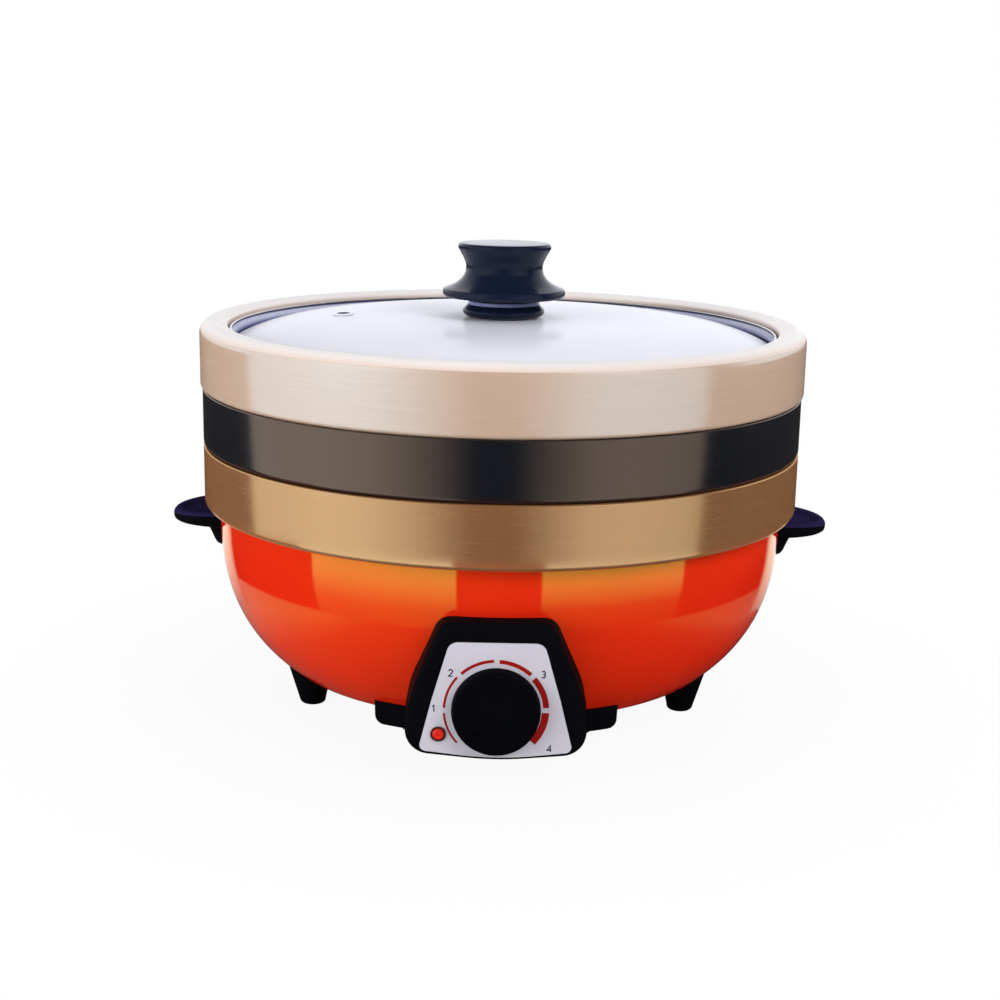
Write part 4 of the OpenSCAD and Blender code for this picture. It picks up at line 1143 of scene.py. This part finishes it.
# Reflectors, in metres.
FAR_R = 1.2
REAR_R = 1.6
LOW_R = 0.2
LOW_DROOP = 0.016
TABLE_R = 0.3
TABLE_Z = 0.0005
TABLE_SIDES = 96

card("card_left", [(-100, 0.88), (-82, 0.9), (-62, 1), (-45, 0.88), (-31, 0.62), (-20, 0.3), (-9, 0)],
     [(-1.0, 1.05), (0.9, 1.05)], FAR_R)
card("card_right", [(5, 0), (20, 0.45), (31, 0.78), (45, 0.85), (62, 0.78), (75, 0.68)],
     [(-1.0, 0.9), (0.9, 0.9)], FAR_R)
card("card_rear", [(150, (1.1, 1.12, 1.2)), (210, (1.1, 1.12, 1.2))],
     [(0.16, 1.15), (0.45, 1.15), (0.6, 1.0), (0.85, 1.0)], REAR_R)
# Low ring that the bowl mirrors: two lit windows in front, two narrow ones at the back, a red dusk between them.
DUSK = (0.25, 0.03, 0.02)
card("card_low_left", [(-97, DUSK), (-50.4, DUSK), (-50, 1), (-10.2, 1), (-9.9, DUSK), (0, DUSK)],
     [(0.028, 0.2), (0.042, 0.28), (0.053, 0.42), (0.065, 0.85), (0.0745, 1.2), (0.084, 1.2)], LOW_R, LOW_DROOP)
card("card_low_right", [(0, DUSK), (10.3, DUSK), (10.6, 1), (49.5, 1), (49.9, DUSK), (97, DUSK)],
     [(0.028, 0.06), (0.042, 0.1), (0.053, 0.17), (0.065, 0.65), (0.0745, 1.0), (0.084, 1.0)], LOW_R, LOW_DROOP)
card("card_low_rear",
     [(97, 0.4), (102, 1.4), (137, 1.4), (145, DUSK), (215, DUSK), (223, 1.3), (258, 1.3), (263, 0.5)],
     [(TABLE_Z, 0.3), (0.02, 0.55), (0.05, 1.0), (0.062, 1.1), (0.068, 0.7)], LOW_R)

table_mesh = bpy.data.meshes.new("card_table")
table_turns = [2 * math.pi * k / TABLE_SIDES for k in range(TABLE_SIDES)]
table_edge = [(TABLE_R * math.cos(a), TABLE_R * math.sin(a), TABLE_Z) for a in table_turns]
table_mesh.from_pydata(table_edge, [], [tuple(range(TABLE_SIDES))])
table = link_object("card_table", table_mesh)


def table_material():
    """Near part of the floor as the bowl mirrors it: lit at the far left, less at the far right, dark between."""
    mat, nodes, links, glow = glow_material("card_table")
    across = map_range(nodes, links, coordinates(nodes, links, "Object")["X"], -LOW_R, LOW_R)
    shine = [(0.0, 0.42), (0.15, 0.12), (0.25, 0.07), (0.5, 0.015), (0.85, 0.02), (0.93, 0.07), (1.0, 0.22)]
    links.new(ramp_node(nodes, links, across, shine), glow.inputs["Strength"])
    return mat


table_mesh.materials.append(table_material())
glossy_only(table)


LAMP_AIM = Vector((0, 0, 0.1))


def area(name, location, size, power):
    """A square lamp that shines on the pot's middle and isn't mirrored by it."""
    data = bpy.data.lights.new(name, "AREA")
    data.shape = "RECTANGLE"
    data.size = data.size_y = size
    data.energy = power
    obj = link_object(name, data)
    obj.location = location
    aim = LAMP_AIM - Vector(location)
    obj.rotation_euler = aim.to_track_quat("-Z", "Y").to_euler()
    obj.visible_glossy = False


area("lamp_left", (-1.3, -0.9, 0.4), 0.8, 15)
area("lamp_right", (1.0, -1.0, 1.05), 0.8, 15)
area("lamp_top", (0, 0.2, 1.5), 1.2, 3)
area("lamp_back", (0.5, 1.4, 0.7), 0.8, 8)

# Camera as fitted to the photo's bands: lens and sensor in millimetres, angles in degrees, the rest in metres.
CAMERA_LENS = 59.62
CAMERA_SENSOR = 36
CAMERA_ELEVATION = 13.15
CAMERA_ROLL = 1.09
CAMERA_DISTANCE = 0.85
AIM_Z = 0.0962

camera_data = bpy.data.cameras.new("camera")
camera = link_object("camera", camera_data)
bpy.context.scene.camera = camera
camera_data.sensor_width = CAMERA_SENSOR
camera_data.lens = CAMERA_LENS
elevation = math.radians(CAMERA_ELEVATION)
aim_at = Vector((0, 0, AIM_Z))
back = Vector((0, -math.cos(elevation), math.sin(elevation)))
camera.location = aim_at + back * CAMERA_DISTANCE
look = (-back).to_track_quat("-Z", "Y").to_matrix().to_4x4()
roll = Matrix.Rotation(math.radians(CAMERA_ROLL), 4, "Z")
camera.matrix_world = Matrix.Translation(camera.location) @ look @ roll

bpy.context.scene.view_settings.view_transform = "Standard"
